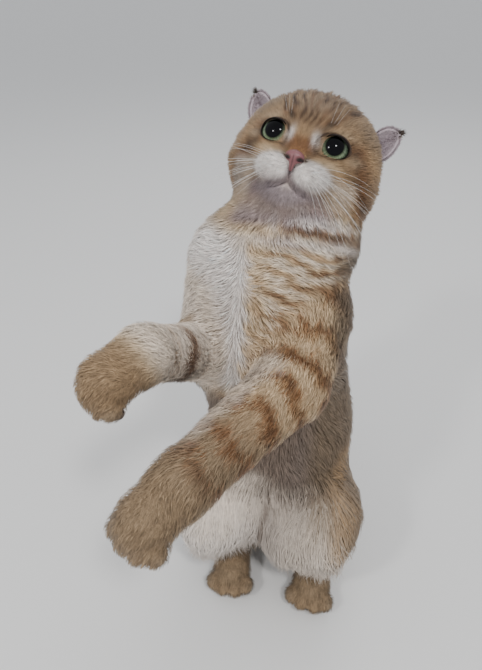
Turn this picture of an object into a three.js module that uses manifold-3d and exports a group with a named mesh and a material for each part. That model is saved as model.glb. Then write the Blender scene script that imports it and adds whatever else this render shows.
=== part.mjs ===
// A Scottish Fold cat, life size, sitting up on its haunches with both forelegs held out.
// Millimetres, +Z up. The cat faces -Y, its left side is at +X and it rests on the floor at Z = 0.
// The coat is part of the solids: every radius below reaches the outer surface of the fur.
import * as THREE from "three";
import { mergeVertices } from "three/addons/utils/BufferGeometryUtils.js";
import Module from "manifold-3d";

const wasm = await Module();
wasm.setup();

// Driving sizes
const gap = 0.3; // between pieces that touch
const floor = 0;
const bodyCell = 12; // spacing of the grid that the body's surface is meshed on
const eye = { radius: 11.5, x: 19.5, y: -31, z: 4, lid: 1.4, halfWidth: 9.6, halfHeight: 8.4, turnedOut: 9 };
const ear = {
  thickness: 2.4,
  bowl: 7,
  curl: 3,
  lower: [[43, 4, 9], [55, 3, 14], [57, 7, 34]],
  upper: [[38, 4, 27], [47, 5, 37], [56, 7, 36]],
};
const nose = {
  pad: { at: [0, -50, -9.5], radii: [6.4, 4.2, 4.4] },
  wing: { at: [4.4, -49.5, -9.5], radii: [3.3, 3.4, 3.1] },
  keel: { from: [0, -51, -12], to: [0, -50, -18], radii: [3, 1.4] },
  nostril: { at: [3.9, -53.6, -11.2], radii: [1.9, 2.6, 1.2], slant: 24 },
  box: 13,
  cell: 2.2,
};
const mouthLine = { width: 1.5, depth: 1.8, lip: [[0, -16], [0, -20], [0, -24]] };
const mouthCorner = [[0, -23.5], [3.5, -26.5], [8, -29], [13, -30]];
const toe = { radius: 8.5, spread: 5.6, outerSpread: 14.5, reach: 11, outerReach: 7, droop: 2 };
const foreAim = { behind: 0, reach: 46 };
const hindAim = { behind: 26, reach: 75 };
const headReach = 76;

// The thighs part from the torso at a slanting plane through a point, and from each other at the middle
const thighCut = { point: [25, 0, 60], middle: 1 };

// The block of space that the fore part of each hind foot fills, measured outward from the line between them
const footBlock = { middle: 6, inner: 13, outer: 90, front: -120, back: 4, top: 29 };

// Long hair on the thighs and between them, in tiers of flat tapered locks.
// A tier's roots run at one height from between the legs (-1) past the front of the knee (0)
// to the outside of the thigh (1), and its locks lie by turns low and high over the coat's core.
const fringe = {
  tiers: [
    { height: 92, from: -0.75, to: 0.8, count: 7, low: 3.5, high: 6, tip: 54 },
    { height: 67, from: -0.85, to: 0.9, count: 8, low: 2.5, high: 5, tip: 33 },
    { height: 54, from: -1, to: -0.4, count: 2, low: 2, high: 4, tip: 32 },
  ],
  between: { x: 9, tip: 23 },
  outermost: 80,
  outerTip: 20,
  width: 14,
  thickness: 2.6,
  sunk: 5,
  rise: 30,
  flare: 0.3,
  curl: 0.14,
  stations: 4,
  seed: 11,
};

// Where the joints of the skeleton lie
const at = {
  rump: [2, 22, 56],
  belly: [0, 4, 118],
  flank: [30, 22, 138],
  chest: [-9, 18, 205],
  neck: [-6, 36, 268],
  ruff: [-38, 32, 276],
  mane: [14, 34, 298],
  head: [7.5, 65, 349],
  shoulderLeft: [25, 14, 248],
  elbowLeft: [15, -39, 222],
  wristLeft: [-36, -132, 214],
  pawLeft: [-50, -156, 208],
  shoulderRight: [-50, 26, 250],
  elbowRight: [-60, 6, 208],
  wristRight: [-75, -76, 262],
  pawRight: [-90, -101, 257.5],
  groin: [23, -45, 66],
  kneeLeft: [50, -35, 84],
  kneeRight: [-42, -37, 83],
  heelLeft: [42, 40, 18],
  heelRight: [-34, 40, 18],
  toesLeft: [48, -61, 15],
  toesRight: [-24, -62, 15],
  tail: [
    [2, 62, 26],
    [-2, 112, 18.5],
    [-14, 165, 16.5],
    [-34, 214, 15.5],
    [-60, 254, 13.5],
  ],
};

// The head's own frame: X to the cat's left, -Y out through the nose, Z out through the crown
const headTurn = { pitch: 28, roll: 12, yaw: -3 };
const degrees = THREE.MathUtils.degToRad;
const headPose = new THREE.Matrix4()
  .makeRotationFromEuler(
    new THREE.Euler(degrees(-headTurn.pitch), degrees(headTurn.roll), degrees(headTurn.yaw), "ZXY"),
  )
  .setPosition(...at.head);
const headPoseBack = headPose.clone().invert();
const fromHead = ([x, y, z]) => new THREE.Vector3(x, y, z).applyMatrix4(headPose);

// Fields: functions of a point that give its distance outside a form, below zero inside it

// An ellipsoid, turned by degrees about X, then Y, then Z
function ball([cx, cy, cz], [rx, ry, rz], [ax, ay, az] = [0, 0, 0]) {
  const e = new THREE.Matrix4().makeRotationFromEuler(
    new THREE.Euler(degrees(ax), degrees(ay), degrees(az), "ZYX"),
  ).elements;
  return (x, y, z) => {
    const dx = x - cx;
    const dy = y - cy;
    const dz = z - cz;
    const lx = (dx * e[0] + dy * e[1] + dz * e[2]) / rx;
    const ly = (dx * e[4] + dy * e[5] + dz * e[6]) / ry;
    const lz = (dx * e[8] + dy * e[9] + dz * e[10]) / rz;
    const near = Math.hypot(lx, ly, lz);
    const slope = Math.hypot(lx / rx, ly / ry, lz / rz);
    return near < 1e-6 ? -Math.min(rx, ry, rz) : (near * (near - 1)) / slope;
  };
}

// A round limb between two points, its radius going evenly from one to the other
function taper([ax, ay, az], ra, [bx, by, bz], rb) {
  const dx = bx - ax;
  const dy = by - ay;
  const dz = bz - az;
  const square = dx * dx + dy * dy + dz * dz;
  return (x, y, z) => {
    const along = ((x - ax) * dx + (y - ay) * dy + (z - az) * dz) / square;
    const t = Math.min(1, Math.max(0, along));
    return Math.hypot(x - ax - t * dx, y - ay - t * dy, z - az - t * dz) - (ra + t * (rb - ra));
  };
}

// A limb through several points
const limb = (points, radii, soft) =>
  blend(soft, ...points.slice(1).map((p, i) => taper(points[i], radii[i], p, radii[i + 1])));

// The union of fields, with a fillet of about the given size where they meet
function blend(soft, ...fields) {
  return (x, y, z) => {
    let least = fields[0](x, y, z);
    for (let i = 1; i < fields.length; i++) {
      const other = fields[i](x, y, z);
      const near = Math.max(soft - Math.abs(least - other), 0) / soft;
      least = Math.min(least, other) - (near * near * soft) / 4;
    }
    return least;
  };
}

// A field written in the head's frame, placed in the cat's
function inHead(field) {
  const m = headPoseBack.elements;
  return (x, y, z) =>
    field(
      m[0] * x + m[4] * y + m[8] * z + m[12],
      m[1] * x + m[5] * y + m[9] * z + m[13],
      m[2] * x + m[6] * y + m[10] * z + m[14],
    );
}

const bothSides = (make) => [make(1), make(-1)];

// The head: skull, cheeks, muzzle, chin and the lids over the eyeballs
const face = blend(
  5,
  blend(
    14,
    ball([0, 4, 3], [53, 48, 44]),
    ...bothSides((side) => ball([side * 27, -5, -15], [28, 31, 25])),
    taper([0, -30, 8], 14, [0, -43, -6], 7),
  ),
  ...bothSides((side) => ball([side * 11.5, -38.5, -18.5], [15, 13.5, 11])),
  ball([0, -36, -31], [12, 11, 9]),
  ...bothSides((side) =>
    ball([side * eye.x, eye.y, eye.z], [eye.radius + eye.lid, eye.radius + eye.lid, eye.radius + eye.lid]),
  ),
);

// A paw's toes, side by side across the way it points
function toes(centre, forward, across, droop) {
  const row = [-toe.outerSpread, -toe.spread, toe.spread, toe.outerSpread];
  return row.map((offset) => {
    const place = centre
      .clone()
      .addScaledVector(forward, Math.abs(offset) > toe.spread ? toe.outerReach : toe.reach)
      .addScaledVector(across, offset)
      .addScaledVector(droop, toe.droop);
    return ball(place.toArray(), [toe.radius, toe.radius + 1, toe.radius]);
  });
}

const vector = (p) => new THREE.Vector3(...p);
const unit = (x, y, z) => new THREE.Vector3(x, y, z).normalize();

// Each paw: its middle, the way its toes point and the way its back faces
const paws = {
  forepaw_left: { middle: at.pawLeft, forward: unit(-0.34, -0.72, -0.6), back: unit(-0.2, -0.6, 0.78) },
  forepaw_right: { middle: at.pawRight, forward: unit(-0.4, -0.5, -0.77), back: unit(-0.45, -0.6, 0.6) },
  hindfoot_left: { middle: at.toesLeft, forward: unit(-0.06, -1, 0), back: unit(0, 0, 1) },
  hindfoot_right: { middle: at.toesRight, forward: unit(0.06, -1, 0), back: unit(0, 0, 1) },
};
const palmRadii = { fore: [19, 17], hind: [17, 14] };
const kindOf = (name) => (name.startsWith("hind") ? "hind" : "fore");
const sideOf = (name) => (name.endsWith("left") ? "left" : "right");

function pawField([name, { middle, forward, back }]) {
  const across = new THREE.Vector3().crossVectors(forward, back).normalize();
  const knuckles = vector(middle).addScaledVector(forward, 4);
  const [wristEnd, toeEnd] = palmRadii[kindOf(name)];
  const palm = taper(middle, wristEnd, knuckles.toArray(), toeEnd);
  return blend(3.5, palm, ...toes(knuckles, forward, across, back.clone().negate()));
}

const trunk = blend(
  22,
  ball(at.rump, [62, 60, 60]),
  ball(at.belly, [60, 60, 78]),
  ball(at.flank, [36, 42, 62]),
  ball(at.chest, [64, 54, 78], [0, 0, -12]),
  ball(at.ruff, [40, 36, 44]),
  ball(at.mane, [37, 34, 36]),
  taper(at.neck, 50, at.head, 40),
  ball(at.groin, [19, 22, 25]),
  ball(at.kneeLeft, [32, 43, 40], [0, 0, 10]),
  ball(at.kneeRight, [32, 43, 40], [0, 0, -10]),
);
const coat = blend(
  12,
  trunk,
  limb([at.shoulderLeft, at.elbowLeft, at.wristLeft, at.pawLeft], [30, 27, 20, 18], 10),
  limb([at.shoulderRight, at.elbowRight, at.wristRight, at.pawRight], [30, 25, 19, 18], 10),
  limb([at.heelLeft, at.toesLeft], [17, 16], 4),
  limb([at.heelRight, at.toesRight], [17, 16], 4),
  limb(at.tail, [26, 20, 18, 17, 15], 8),
  inHead(face),
);
const cat = blend(6, coat, ...Object.entries(paws).map(pawField));

// A closed mesh of a field's surface inside a box, on a grid of the given spacing
function netMesh(field, [lx, ly, lz], [hx, hy, hz], cell) {
  const nx = Math.ceil((hx - lx) / cell) + 1;
  const ny = Math.ceil((hy - ly) / cell) + 1;
  const nz = Math.ceil((hz - lz) / cell) + 1;
  const index = (i, j, k) => i + nx * (j + ny * k);
  const value = new Float64Array(nx * ny * nz);
  for (let k = 0; k < nz; k++)
    for (let j = 0; j < ny; j++)
      for (let i = 0; i < nx; i++) {
        const rim = i === 0 || j === 0 || k === 0 || i === nx - 1 || j === ny - 1 || k === nz - 1;
        const d = field(lx + i * cell, ly + j * cell, lz + k * cell);
        value[index(i, j, k)] = rim ? Math.max(d, cell / 20) : d;
      }
  openPinches(value, [nx, ny, nz], [1, nx, nx * ny], cell / 20);
  const place = new Int32Array(value.length).fill(-1);
  const points = [];
  const faces = [];
  for (let k = 0; k < nz - 1; k++)
    for (let j = 0; j < ny - 1; j++)
      for (let i = 0; i < nx - 1; i++) {
        const sum = [0, 0, 0];
        let crossings = 0;
        for (let axis = 0; axis < 3; axis++)
          for (let side = 0; side < 4; side++) {
            const a = [i, j, k];
            a[(axis + 1) % 3] += side & 1;
            a[(axis + 2) % 3] += side >> 1;
            const b = [...a];
            b[axis] += 1;
            const va = value[index(...a)];
            const vb = value[index(...b)];
            if (va < 0 === vb < 0) continue;
            a[axis] += va / (va - vb);
            sum.forEach((s, n) => (sum[n] = s + a[n]));
            crossings += 1;
          }
        if (!crossings) continue;
        place[index(i, j, k)] = points.length / 3;
        const p = sum.map((s, n) => [lx, ly, lz][n] + (s / crossings) * cell);
        points.push(...settle(field, p, cell * 0.3));
      }
  for (let k = 1; k < nz - 1; k++)
    for (let j = 1; j < ny - 1; j++)
      for (let i = 1; i < nx - 1; i++)
        for (let axis = 0; axis < 3; axis++) {
          const a = [i, j, k];
          const b = [i, j, k];
          b[axis] += 1;
          const va = value[index(...a)];
          const vb = value[index(...b)];
          if (va < 0 === vb < 0) continue;
          const corner = (du, dw) => {
            const c = [i, j, k];
            c[(axis + 1) % 3] -= du;
            c[(axis + 2) % 3] -= dw;
            return place[index(...c)];
          };
          const ring = [corner(0, 0), corner(1, 0), corner(1, 1), corner(0, 1)];
          if (va >= 0) ring.reverse();
          faces.push(ring[0], ring[1], ring[2], ring[0], ring[2], ring[3]);
        }
  return shape(points, faces);
}

// Where a grid face has its inside corners across a diagonal, the surface would pinch,
// so the weaker of the two goes outside
function openPinches(value, size, step, outside) {
  for (let found = true; found; ) {
    found = false;
    for (let k = 0; k < size[2]; k++)
      for (let j = 0; j < size[1]; j++)
        for (let i = 0; i < size[0]; i++)
          for (let axis = 0; axis < 3; axis++) {
            const u = (axis + 1) % 3;
            const w = (axis + 2) % 3;
            const at0 = [i, j, k];
            if (at0[u] + 1 >= size[u] || at0[w] + 1 >= size[w]) continue;
            const a = i * step[0] + j * step[1] + k * step[2];
            const corners = [a, a + step[u], a + step[u] + step[w], a + step[w]];
            const inside = corners.map((c) => value[c] < 0);
            if (inside[0] !== inside[2] || inside[1] !== inside[3] || inside[0] === inside[1]) continue;
            const pair = inside[0] ? [corners[0], corners[2]] : [corners[1], corners[3]];
            value[value[pair[0]] > value[pair[1]] ? pair[0] : pair[1]] = outside;
            found = true;
          }
  }
}

// How a field rises with each coordinate
function rise(field, x, y, z) {
  const h = 0.05;
  const d = field(x, y, z);
  const steps = [field(x + h, y, z) - d, field(x, y + h, z) - d, field(x, y, z + h) - d];
  return vector(steps).divideScalar(h);
}

// A point moved onto the field's surface, by no more than the given length
function settle(field, [x, y, z], most) {
  const slope = rise(field, x, y, z);
  const steep = slope.length();
  if (steep < 0.2) return [x, y, z];
  const move = THREE.MathUtils.clamp(field(x, y, z) / steep, -most, most);
  return new THREE.Vector3(x, y, z).addScaledVector(slope, -move / steep).toArray();
}

const shape = (points, faces) =>
  new THREE.BufferGeometry()
    .setAttribute("position", new THREE.BufferAttribute(new Float32Array(points), 3))
    .setIndex(faces);

// The distance along a ray from inside the field at which it leaves it
function leaves(field, from, way, reach) {
  const d = (r) => field(from.x + way.x * r, from.y + way.y * r, from.z + way.z * r);
  let low = 0;
  while (low < reach && d(low + 1) < 0) low += 1;
  if (low >= reach) return reach;
  let high = low + 1;
  for (let i = 0; i < 12; i++) {
    const mid = (low + high) / 2;
    if (d(mid) > 0) high = mid;
    else low = mid;
  }
  return low;
}

// A closed mesh round a centre: rings about an axis, each vertex where its ray leaves the field.
// Each ring is given as its angle from the axis and its count of vertices.
function ringMesh(field, centre, axis, up, rings, reach) {
  const side = new THREE.Vector3().crossVectors(up, axis).normalize();
  const top = new THREE.Vector3().crossVectors(axis, side);
  const points = [];
  const add = (tilt, turn) => {
    const way = axis
      .clone()
      .multiplyScalar(Math.cos(tilt))
      .addScaledVector(side, Math.sin(tilt) * Math.cos(turn))
      .addScaledVector(top, Math.sin(tilt) * Math.sin(turn));
    points.push(...centre.clone().addScaledVector(way, leaves(field, centre, way, reach)).toArray());
    return points.length / 3 - 1;
  };
  const faces = [];
  const loops = [
    [add(0, 0)],
    ...rings.map(([tilt, count]) =>
      Array.from({ length: count }, (_, i) => add(degrees(tilt), (2 * Math.PI * (i + 0.5)) / count)),
    ),
    [add(Math.PI, 0)],
  ];
  loops.slice(1).forEach((outer, n) => bridge(loops[n], outer, faces));
  return shape(points, faces);
}

// Triangles between two rings of any two counts, either of which may be a single point
function bridge(inner, outer, faces) {
  const innerSteps = inner.length > 1 ? inner.length : 0;
  const outerSteps = outer.length > 1 ? outer.length : 0;
  let i = 0;
  let j = 0;
  while (i < innerSteps || j < outerSteps) {
    const innerNext = j >= outerSteps || (i < innerSteps && (i + 1) * outerSteps < (j + 1) * innerSteps);
    faces.push(inner[i % inner.length], outer[j % outer.length]);
    if (innerNext) {
      i += 1;
      faces.push(inner[i % inner.length]);
    } else {
      j += 1;
      faces.push(outer[j % outer.length]);
    }
  }
}

// A closed sheet of even thickness over a surface given by a function of u and v from 0 to 1
function sheetMesh(surface, thickness, nu, nv) {
  const h = 0.01;
  const points = [];
  for (const side of [0.5, -0.5])
    for (let j = 0; j <= nv; j++)
      for (let i = 0; i <= nu; i++) {
        const u = i / nu;
        const v = j / nv;
        const p = surface(u, v);
        const du = surface(Math.min(1, u + h), v).sub(surface(Math.max(0, u - h), v));
        const dv = surface(u, Math.min(1, v + h)).sub(surface(u, Math.max(0, v - h)));
        const normal = du.cross(dv).normalize();
        points.push(...p.addScaledVector(normal, side * thickness).toArray());
      }
  const layer = (nu + 1) * (nv + 1);
  const index = (i, j, side) => i + (nu + 1) * j + side * layer;
  const faces = [];
  for (let j = 0; j < nv; j++)
    for (let i = 0; i < nu; i++) {
      const [a, b, c, d] = [index(i, j, 0), index(i + 1, j, 0), index(i + 1, j + 1, 0), index(i, j + 1, 0)];
      faces.push(a, b, c, a, c, d);
      faces.push(a + layer, c + layer, b + layer, a + layer, d + layer, c + layer);
    }
  const rim = [];
  for (let i = 0; i < nu; i++) rim.push(index(i, 0, 0));
  for (let j = 0; j < nv; j++) rim.push(index(nu, j, 0));
  for (let i = nu; i > 0; i--) rim.push(index(i, nv, 0));
  for (let j = nv; j > 0; j--) rim.push(index(0, j, 0));
  rim.forEach((a, n) => {
    const b = rim[(n + 1) % rim.length];
    faces.push(a, a + layer, b + layer, a, b + layer, b);
  });
  return shape(points, faces);
}

// Seeded random numbers from 0 to 1, the same on every run
function seeded(seed) {
  const multiplier = 16807;
  const modulus = 2 ** 31 - 1;
  let state = seed;
  return () => {
    state = (state * multiplier) % modulus;
    return state / modulus;
  };
}

// The line that a lock follows from its root: down over the coat, rising to a height above it,
// then free where the coat turns under. Each step keeps the coat's outward way there.
function hangingLine(root, way, height, lowest) {
  const step = 2;
  const turnedUnder = -0.6;
  const stiffness = 0.85;
  const line = [];
  const p = root.clone();
  const along = way.clone();
  let out;
  while (p.z > lowest) {
    const slope = rise(cat, p.x, p.y, p.z).normalize();
    const free = line.length > 0 && slope.z < turnedUnder;
    if (!free) out = slope;
    line.push({ point: p.clone(), out: out.clone() });
    if (free) along.lerp(way, 1 - stiffness).normalize();
    else along.copy(way).addScaledVector(out, -way.dot(out)).normalize();
    p.addScaledVector(along, step);
    const over = height * Math.min(1, (line.length * step) / fringe.rise);
    if (!free) p.addScaledVector(out, over - cat(p.x, p.y, p.z));
  }
  return line;
}

// A lock of long hair along such a line: flat, tapered to a point, its root sunk in the body
function lockMesh(line, width) {
  const points = [];
  const pick = (t) => line[Math.round(THREE.MathUtils.clamp(t, 0, 1) * (line.length - 1))];
  for (let k = 0; k < fringe.stations; k++) {
    const t = k / fringe.stations;
    const { point, out } = pick(t);
    const along = pick(t + 0.12).point.clone().sub(pick(t - 0.12).point).normalize();
    const across = new THREE.Vector3().crossVectors(along, out).normalize();
    const face = new THREE.Vector3().crossVectors(across, along);
    const wide = (width / 2) * Math.sin(Math.PI * (0.3 + 0.7 * t)) ** 0.8;
    const thick = (fringe.thickness / 2) * (1 - 0.5 * t);
    const middle = point.clone().addScaledVector(out, k ? 0 : -fringe.sunk);
    for (const [way, reach] of [[across, wide], [face, thick], [across, -wide], [face, -thick]])
      points.push(...middle.clone().addScaledVector(way, reach).toArray());
  }
  points.push(...line.at(-1).point.toArray());
  const tip = 4 * fringe.stations;
  const faces = [0, 1, 2, 0, 2, 3];
  for (let k = 0; k < fringe.stations; k++)
    for (let n = 0; n < 4; n++) {
      const [a, b] = [4 * k + n, 4 * k + ((n + 1) % 4)];
      if (a + 4 >= tip) faces.push(a, tip, b);
      else faces.push(a, a + 4, b, a + 4, b + 4, b);
    }
  return shape(points, faces);
}

function solid(geometry) {
  const bare = new THREE.BufferGeometry().setAttribute("position", geometry.attributes.position.clone());
  bare.setIndex(geometry.index ? geometry.index.clone() : null);
  const merged = mergeVertices(bare, 1e-4);
  const mesh = {
    numProp: 3,
    vertProperties: merged.attributes.position.array,
    triVerts: new Uint32Array(merged.index.array),
  };
  return new wasm.Manifold(new wasm.Mesh(mesh));
}

// The largest of a solid's closed pieces
const largest = (made) => made.decompose().reduce((a, b) => (a.volume() > b.volume() ? a : b));

// The two sides of a plane through a point, a gap apart: first the side that the normal points to
function halves(made, point, normal) {
  const offset = normal.dot(vector(point));
  return [
    made.trimByPlane(normal.toArray(), offset + gap / 2),
    made.trimByPlane(normal.clone().negate().toArray(), -(offset - gap / 2)),
  ];
}

// A limb cut off by a thin square slab, which leaves the rest of the body whole
function sever(made, point, normal, halfSize) {
  const slab = new THREE.BoxGeometry(2 * halfSize, 2 * halfSize, gap);
  slab.applyQuaternion(new THREE.Quaternion().setFromUnitVectors(new THREE.Vector3(0, 0, 1), normal));
  slab.translate(...point);
  const pieces = made.subtract(solid(slab)).decompose();
  const depth = (piece) => {
    const box = piece.boundingBox();
    const middle = new THREE.Vector3(...box.min).add(new THREE.Vector3(...box.max)).multiplyScalar(0.5);
    return middle.sub(vector(point)).dot(normal);
  };
  const sorted = pieces.filter((p) => p.volume() > 100).sort((a, b) => b.volume() - a.volume());
  if (sorted.length < 2) throw new Error("the cut at " + point + " parts nothing off");
  const [rest, off] = sorted;
  return depth(off) > depth(rest) ? [off, rest] : [rest, off];
}

const nodes = {};

// The body on a coarse grid, flat where it rests on the floor
let body = solid(netMesh(cat, [-128, -200, -25], [112, 290, 412], bodyCell));
body = body.trimByPlane([0, 0, 1], floor);

// Head off the neck, neck off the torso
const headCut = { point: [4, 58, 309], up: unit(0.1, 0.33, 0.94) };
const neckCut = { point: [-3, 38, 286], up: unit(0.08, 0.24, 0.96) };
[, body] = halves(body, headCut.point, headCut.up);
[nodes.neck, body] = halves(body, neckCut.point, neckCut.up);

// Each foreleg: forearm off the upper arm, paw off the forearm, then the upper arm off the torso
const forelegCuts = {
  left: {
    elbow: { point: [3, -62, 220], way: unit(-0.48, -0.87, -0.07), halfSize: 44 },
    wrist: { point: [-40, -142, 211], way: unit(-0.46, -0.85, -0.25), halfSize: 34 },
    shoulder: { point: [24, -16, 228], way: unit(0.4, -0.84, 0.36), halfSize: 75 },
  },
  right: {
    elbow: { point: [-66, -34, 234], way: unit(-0.15, -0.82, 0.54), halfSize: 38 },
    wrist: { point: [-80, -85, 260], way: unit(-0.5, -0.82, -0.25), halfSize: 34 },
    shoulder: { point: [-54, 14, 222], way: unit(-0.92, -0.24, 0.3), halfSize: 92 },
  },
};
for (const [side, { elbow, wrist, shoulder }] of Object.entries(forelegCuts)) {
  let leg;
  [leg, body] = sever(body, elbow.point, elbow.way, elbow.halfSize);
  [, nodes["forearm_" + side]] = sever(leg, wrist.point, wrist.way, wrist.halfSize);
  [nodes["upper_arm_" + side], body] = sever(body, shoulder.point, shoulder.way, shoulder.halfSize);
}

// The fringe: tiers of locks across the front of each thigh, swung outward as they fall
const random = seeded(fringe.seed);
const vary = (size, share) => size * (1 + share * (2 * random() - 1));
for (const [side, [kneeX, kneeY]] of [[1, at.kneeLeft], [-1, at.kneeRight]])
  for (const { height, from, to, count, low, high, tip } of fringe.tiers)
    for (let n = 0; n < count; n++) {
      const place = THREE.MathUtils.lerp(from, to, (n + vary(0.5, 0.3)) / count);
      const turn = degrees(Math.max(0, place) * fringe.outermost);
      const innermost = thighCut.middle + side * fringe.between.x;
      const x = THREE.MathUtils.lerp(kneeX, innermost, Math.max(0, -place));
      const level = new THREE.Vector3(x, kneeY, vary(height, 0.05));
      const outward = unit(side * Math.sin(turn), -Math.cos(turn), 0);
      const root = level.addScaledVector(outward, leaves(cat, level.clone(), outward, headReach));
      const way = unit(side * fringe.flare * Math.sin(turn) + vary(fringe.curl, 1) - fringe.curl, 0, -1);
      const overFoot = (root.x - footBlock.middle) * side > footBlock.inner - fringe.width / 3;
      const upper = tip > footBlock.top + 10;
      const least = overFoot || upper ? vary(tip, 0.04) : vary(fringe.between.tip, 0.1);
      const lowest = least + fringe.outerTip * Math.max(0, place) ** 2;
      const line = hangingLine(root, way, n % 2 ? high : low, lowest);
      body = body.add(solid(lockMesh(line, vary(fringe.width, 0.15))));
    }

// The tail, in three lengths along the floor
const tailCuts = { base: [-1, 92, 18], middle: [-12, 148, 15], tip: [-29, 206, 14] };
const tailWay = { base: unit(-0.1, 1, 0), middle: unit(-0.25, 1, 0), tip: unit(-0.45, 1, 0) };
[nodes.tail_base, body] = sever(body, tailCuts.base, tailWay.base, 42);
[nodes.tail_middle, nodes.tail_base] = halves(nodes.tail_base, tailCuts.middle, tailWay.middle);
[nodes.tail_tip, nodes.tail_middle] = halves(nodes.tail_middle, tailCuts.tip, tailWay.tip);

// The fore parts of the hind feet, each in a block of space that is cleared from the body
const footSpace = (side, grow) => {
  const width = footBlock.outer - footBlock.inner + 2 * grow;
  const depth = footBlock.back - footBlock.front + 2 * grow;
  const below = 20;
  const height = footBlock.top + below + grow;
  const box = new THREE.BoxGeometry(width, depth, height);
  const x = footBlock.middle + side * ((footBlock.outer + footBlock.inner) / 2);
  box.translate(x, (footBlock.back + footBlock.front) / 2, height / 2 - below);
  return solid(box);
};
for (const side of [1, -1]) body = body.subtract(footSpace(side, gap));

// Thighs off the torso by two slanting planes, and off each other between them
const thighWay = unit(0.72, -0.5, -0.38);
const rightOf = (v) => new THREE.Vector3(-v.x, v.y, v.z);
const rightPoint = [2 * thighCut.middle - thighCut.point[0], thighCut.point[1], thighCut.point[2]];
const [leftThigh, notLeft] = halves(body, thighCut.point, thighWay);
const [rightThigh] = halves(body, rightPoint, rightOf(thighWay));
[, body] = halves(notLeft, rightPoint, rightOf(thighWay));
nodes.thigh_left = largest(halves(leftThigh, [thighCut.middle, 0, 0], unit(1, 0, 0))[0]);
nodes.thigh_right = largest(halves(rightThigh, [thighCut.middle, 0, 0], unit(-1, 0, 0))[0]);
nodes.torso = body;

// Rings of vertices, from lists of first tilt, last tilt, step and count
const ringsOf = (list) =>
  list.flatMap(([from, to, step, count]) =>
    Array.from({ length: Math.ceil((to - from) / step - 1e-6) }, (_, i) => [from + i * step, count]),
  );

// The paws, finer than the body: toes forward of their rings' axis
const pawRings = ringsOf([
  [10, 30, 10, 12],
  [30, 130, 10, 26],
  [130, 175, 15, 13],
]);
for (const [name, paw] of Object.entries(paws)) {
  const hind = kindOf(name) === "hind";
  const aim = hind ? hindAim : foreAim;
  const centre = vector(paw.middle).addScaledVector(paw.forward, -aim.behind);
  const skin = solid(ringMesh(cat, centre, paw.forward, paw.back, pawRings, aim.reach));
  if (hind) {
    const block = footSpace(sideOf(name) === "left" ? 1 : -1, 0);
    nodes[name] = skin.trimByPlane([0, 0, 1], floor).intersect(block);
  } else {
    const cut = forelegCuts[sideOf(name)].wrist;
    [nodes[name]] = halves(skin, cut.point, cut.way);
  }
}

// The head, finest in the face
const headRings = ringsOf([
  [4, 8, 4, 14],
  [8, 22, 3.5, 28],
  [22, 60, 3.8, 54],
  [60, 130, 7.8, 42],
  [130, 160, 10, 26],
  [160, 176, 9, 13],
]);
const headAxis = unit(0, -1, 0).transformDirection(headPose);
const headUp = unit(0, 0, 1).transformDirection(headPose);
const headSkin = (grow) =>
  solid(ringMesh((x, y, z) => cat(x, y, z) - grow, vector(at.head), headAxis, headUp, headRings, headReach));
let [head] = halves(headSkin(0), headCut.point, headCut.up);

// Where the face's surface lies, in the head's frame, ahead of a point across and up it
function onFace(x, z) {
  let y = -70;
  while (face(x, y, z) > 0.02 && y < 0) y += Math.max(0.02, face(x, y, z) * 0.8);
  return new THREE.Vector3(x, y, z);
}

// A groove along the face: a thin bar through points given across and up it
function groove(points) {
  const path = new THREE.CatmullRomCurve3(points.map(([x, z]) => onFace(x, z)));
  const w = mouthLine.width / 2;
  const d = mouthLine.depth;
  const section = new THREE.Shape().moveTo(w, 0).lineTo(0, d).lineTo(-w, 0).lineTo(0, -d);
  const steps = 3 * points.length;
  const bar = new THREE.ExtrudeGeometry(section, { extrudePath: path, steps, bevelEnabled: false });
  return solid(bar.applyMatrix4(headPose));
}
head = head.subtract(groove(mouthLine.lip));
for (const side of [1, -1]) head = head.subtract(groove(mouthCorner.map(([x, z]) => [side * x, z])));

// The nose leather, in a pocket of the muzzle, with its two nostrils
const mirrored = ([x, y, z], side) => [side * x, y, z];
const leather = inHead(
  blend(
    2.5,
    ball(nose.pad.at, nose.pad.radii),
    ...bothSides((side) => ball(mirrored(nose.wing.at, side), nose.wing.radii)),
    taper(nose.keel.from, nose.keel.radii[0], nose.keel.to, nose.keel.radii[1]),
  ),
);
const noseMiddle = fromHead(nose.pad.at);
const noseBox = [-nose.box, nose.box].map((reach) => noseMiddle.clone().addScalar(reach).toArray());
nodes.nose = solid(netMesh(leather, ...noseBox, nose.cell));
head = head.subtract(solid(netMesh((x, y, z) => leather(x, y, z) - gap, ...noseBox, nose.cell)));
for (const side of [1, -1]) {
  const nostril = new THREE.SphereGeometry(1, 10, 8).scale(...nose.nostril.radii);
  nostril.rotateY(side * degrees(-nose.nostril.slant)).translate(...mirrored(nose.nostril.at, side));
  nodes.nose = nodes.nose.subtract(solid(nostril.applyMatrix4(headPose)));
}

// The eyes, each a ball in a socket behind a round opening between the lids
for (const [side, word] of [[1, "left"], [-1, "right"]]) {
  const turn = new THREE.Matrix4().makeRotationZ(side * degrees(eye.turnedOut));
  const place = headPose.clone().multiply(turn.setPosition(side * eye.x, eye.y, eye.z));
  const globe = (radius) => solid(new THREE.SphereGeometry(radius, 16, 12).applyMatrix4(place));
  const opening = new THREE.CylinderGeometry(1, 1, 2 * eye.radius, 28);
  opening.scale(eye.halfWidth, 1, eye.halfHeight).translate(0, -eye.radius - 3, 0).applyMatrix4(place);
  nodes["eye_" + word] = globe(eye.radius);
  head = head.subtract(globe(eye.radius + gap)).subtract(solid(opening));
}

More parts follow.
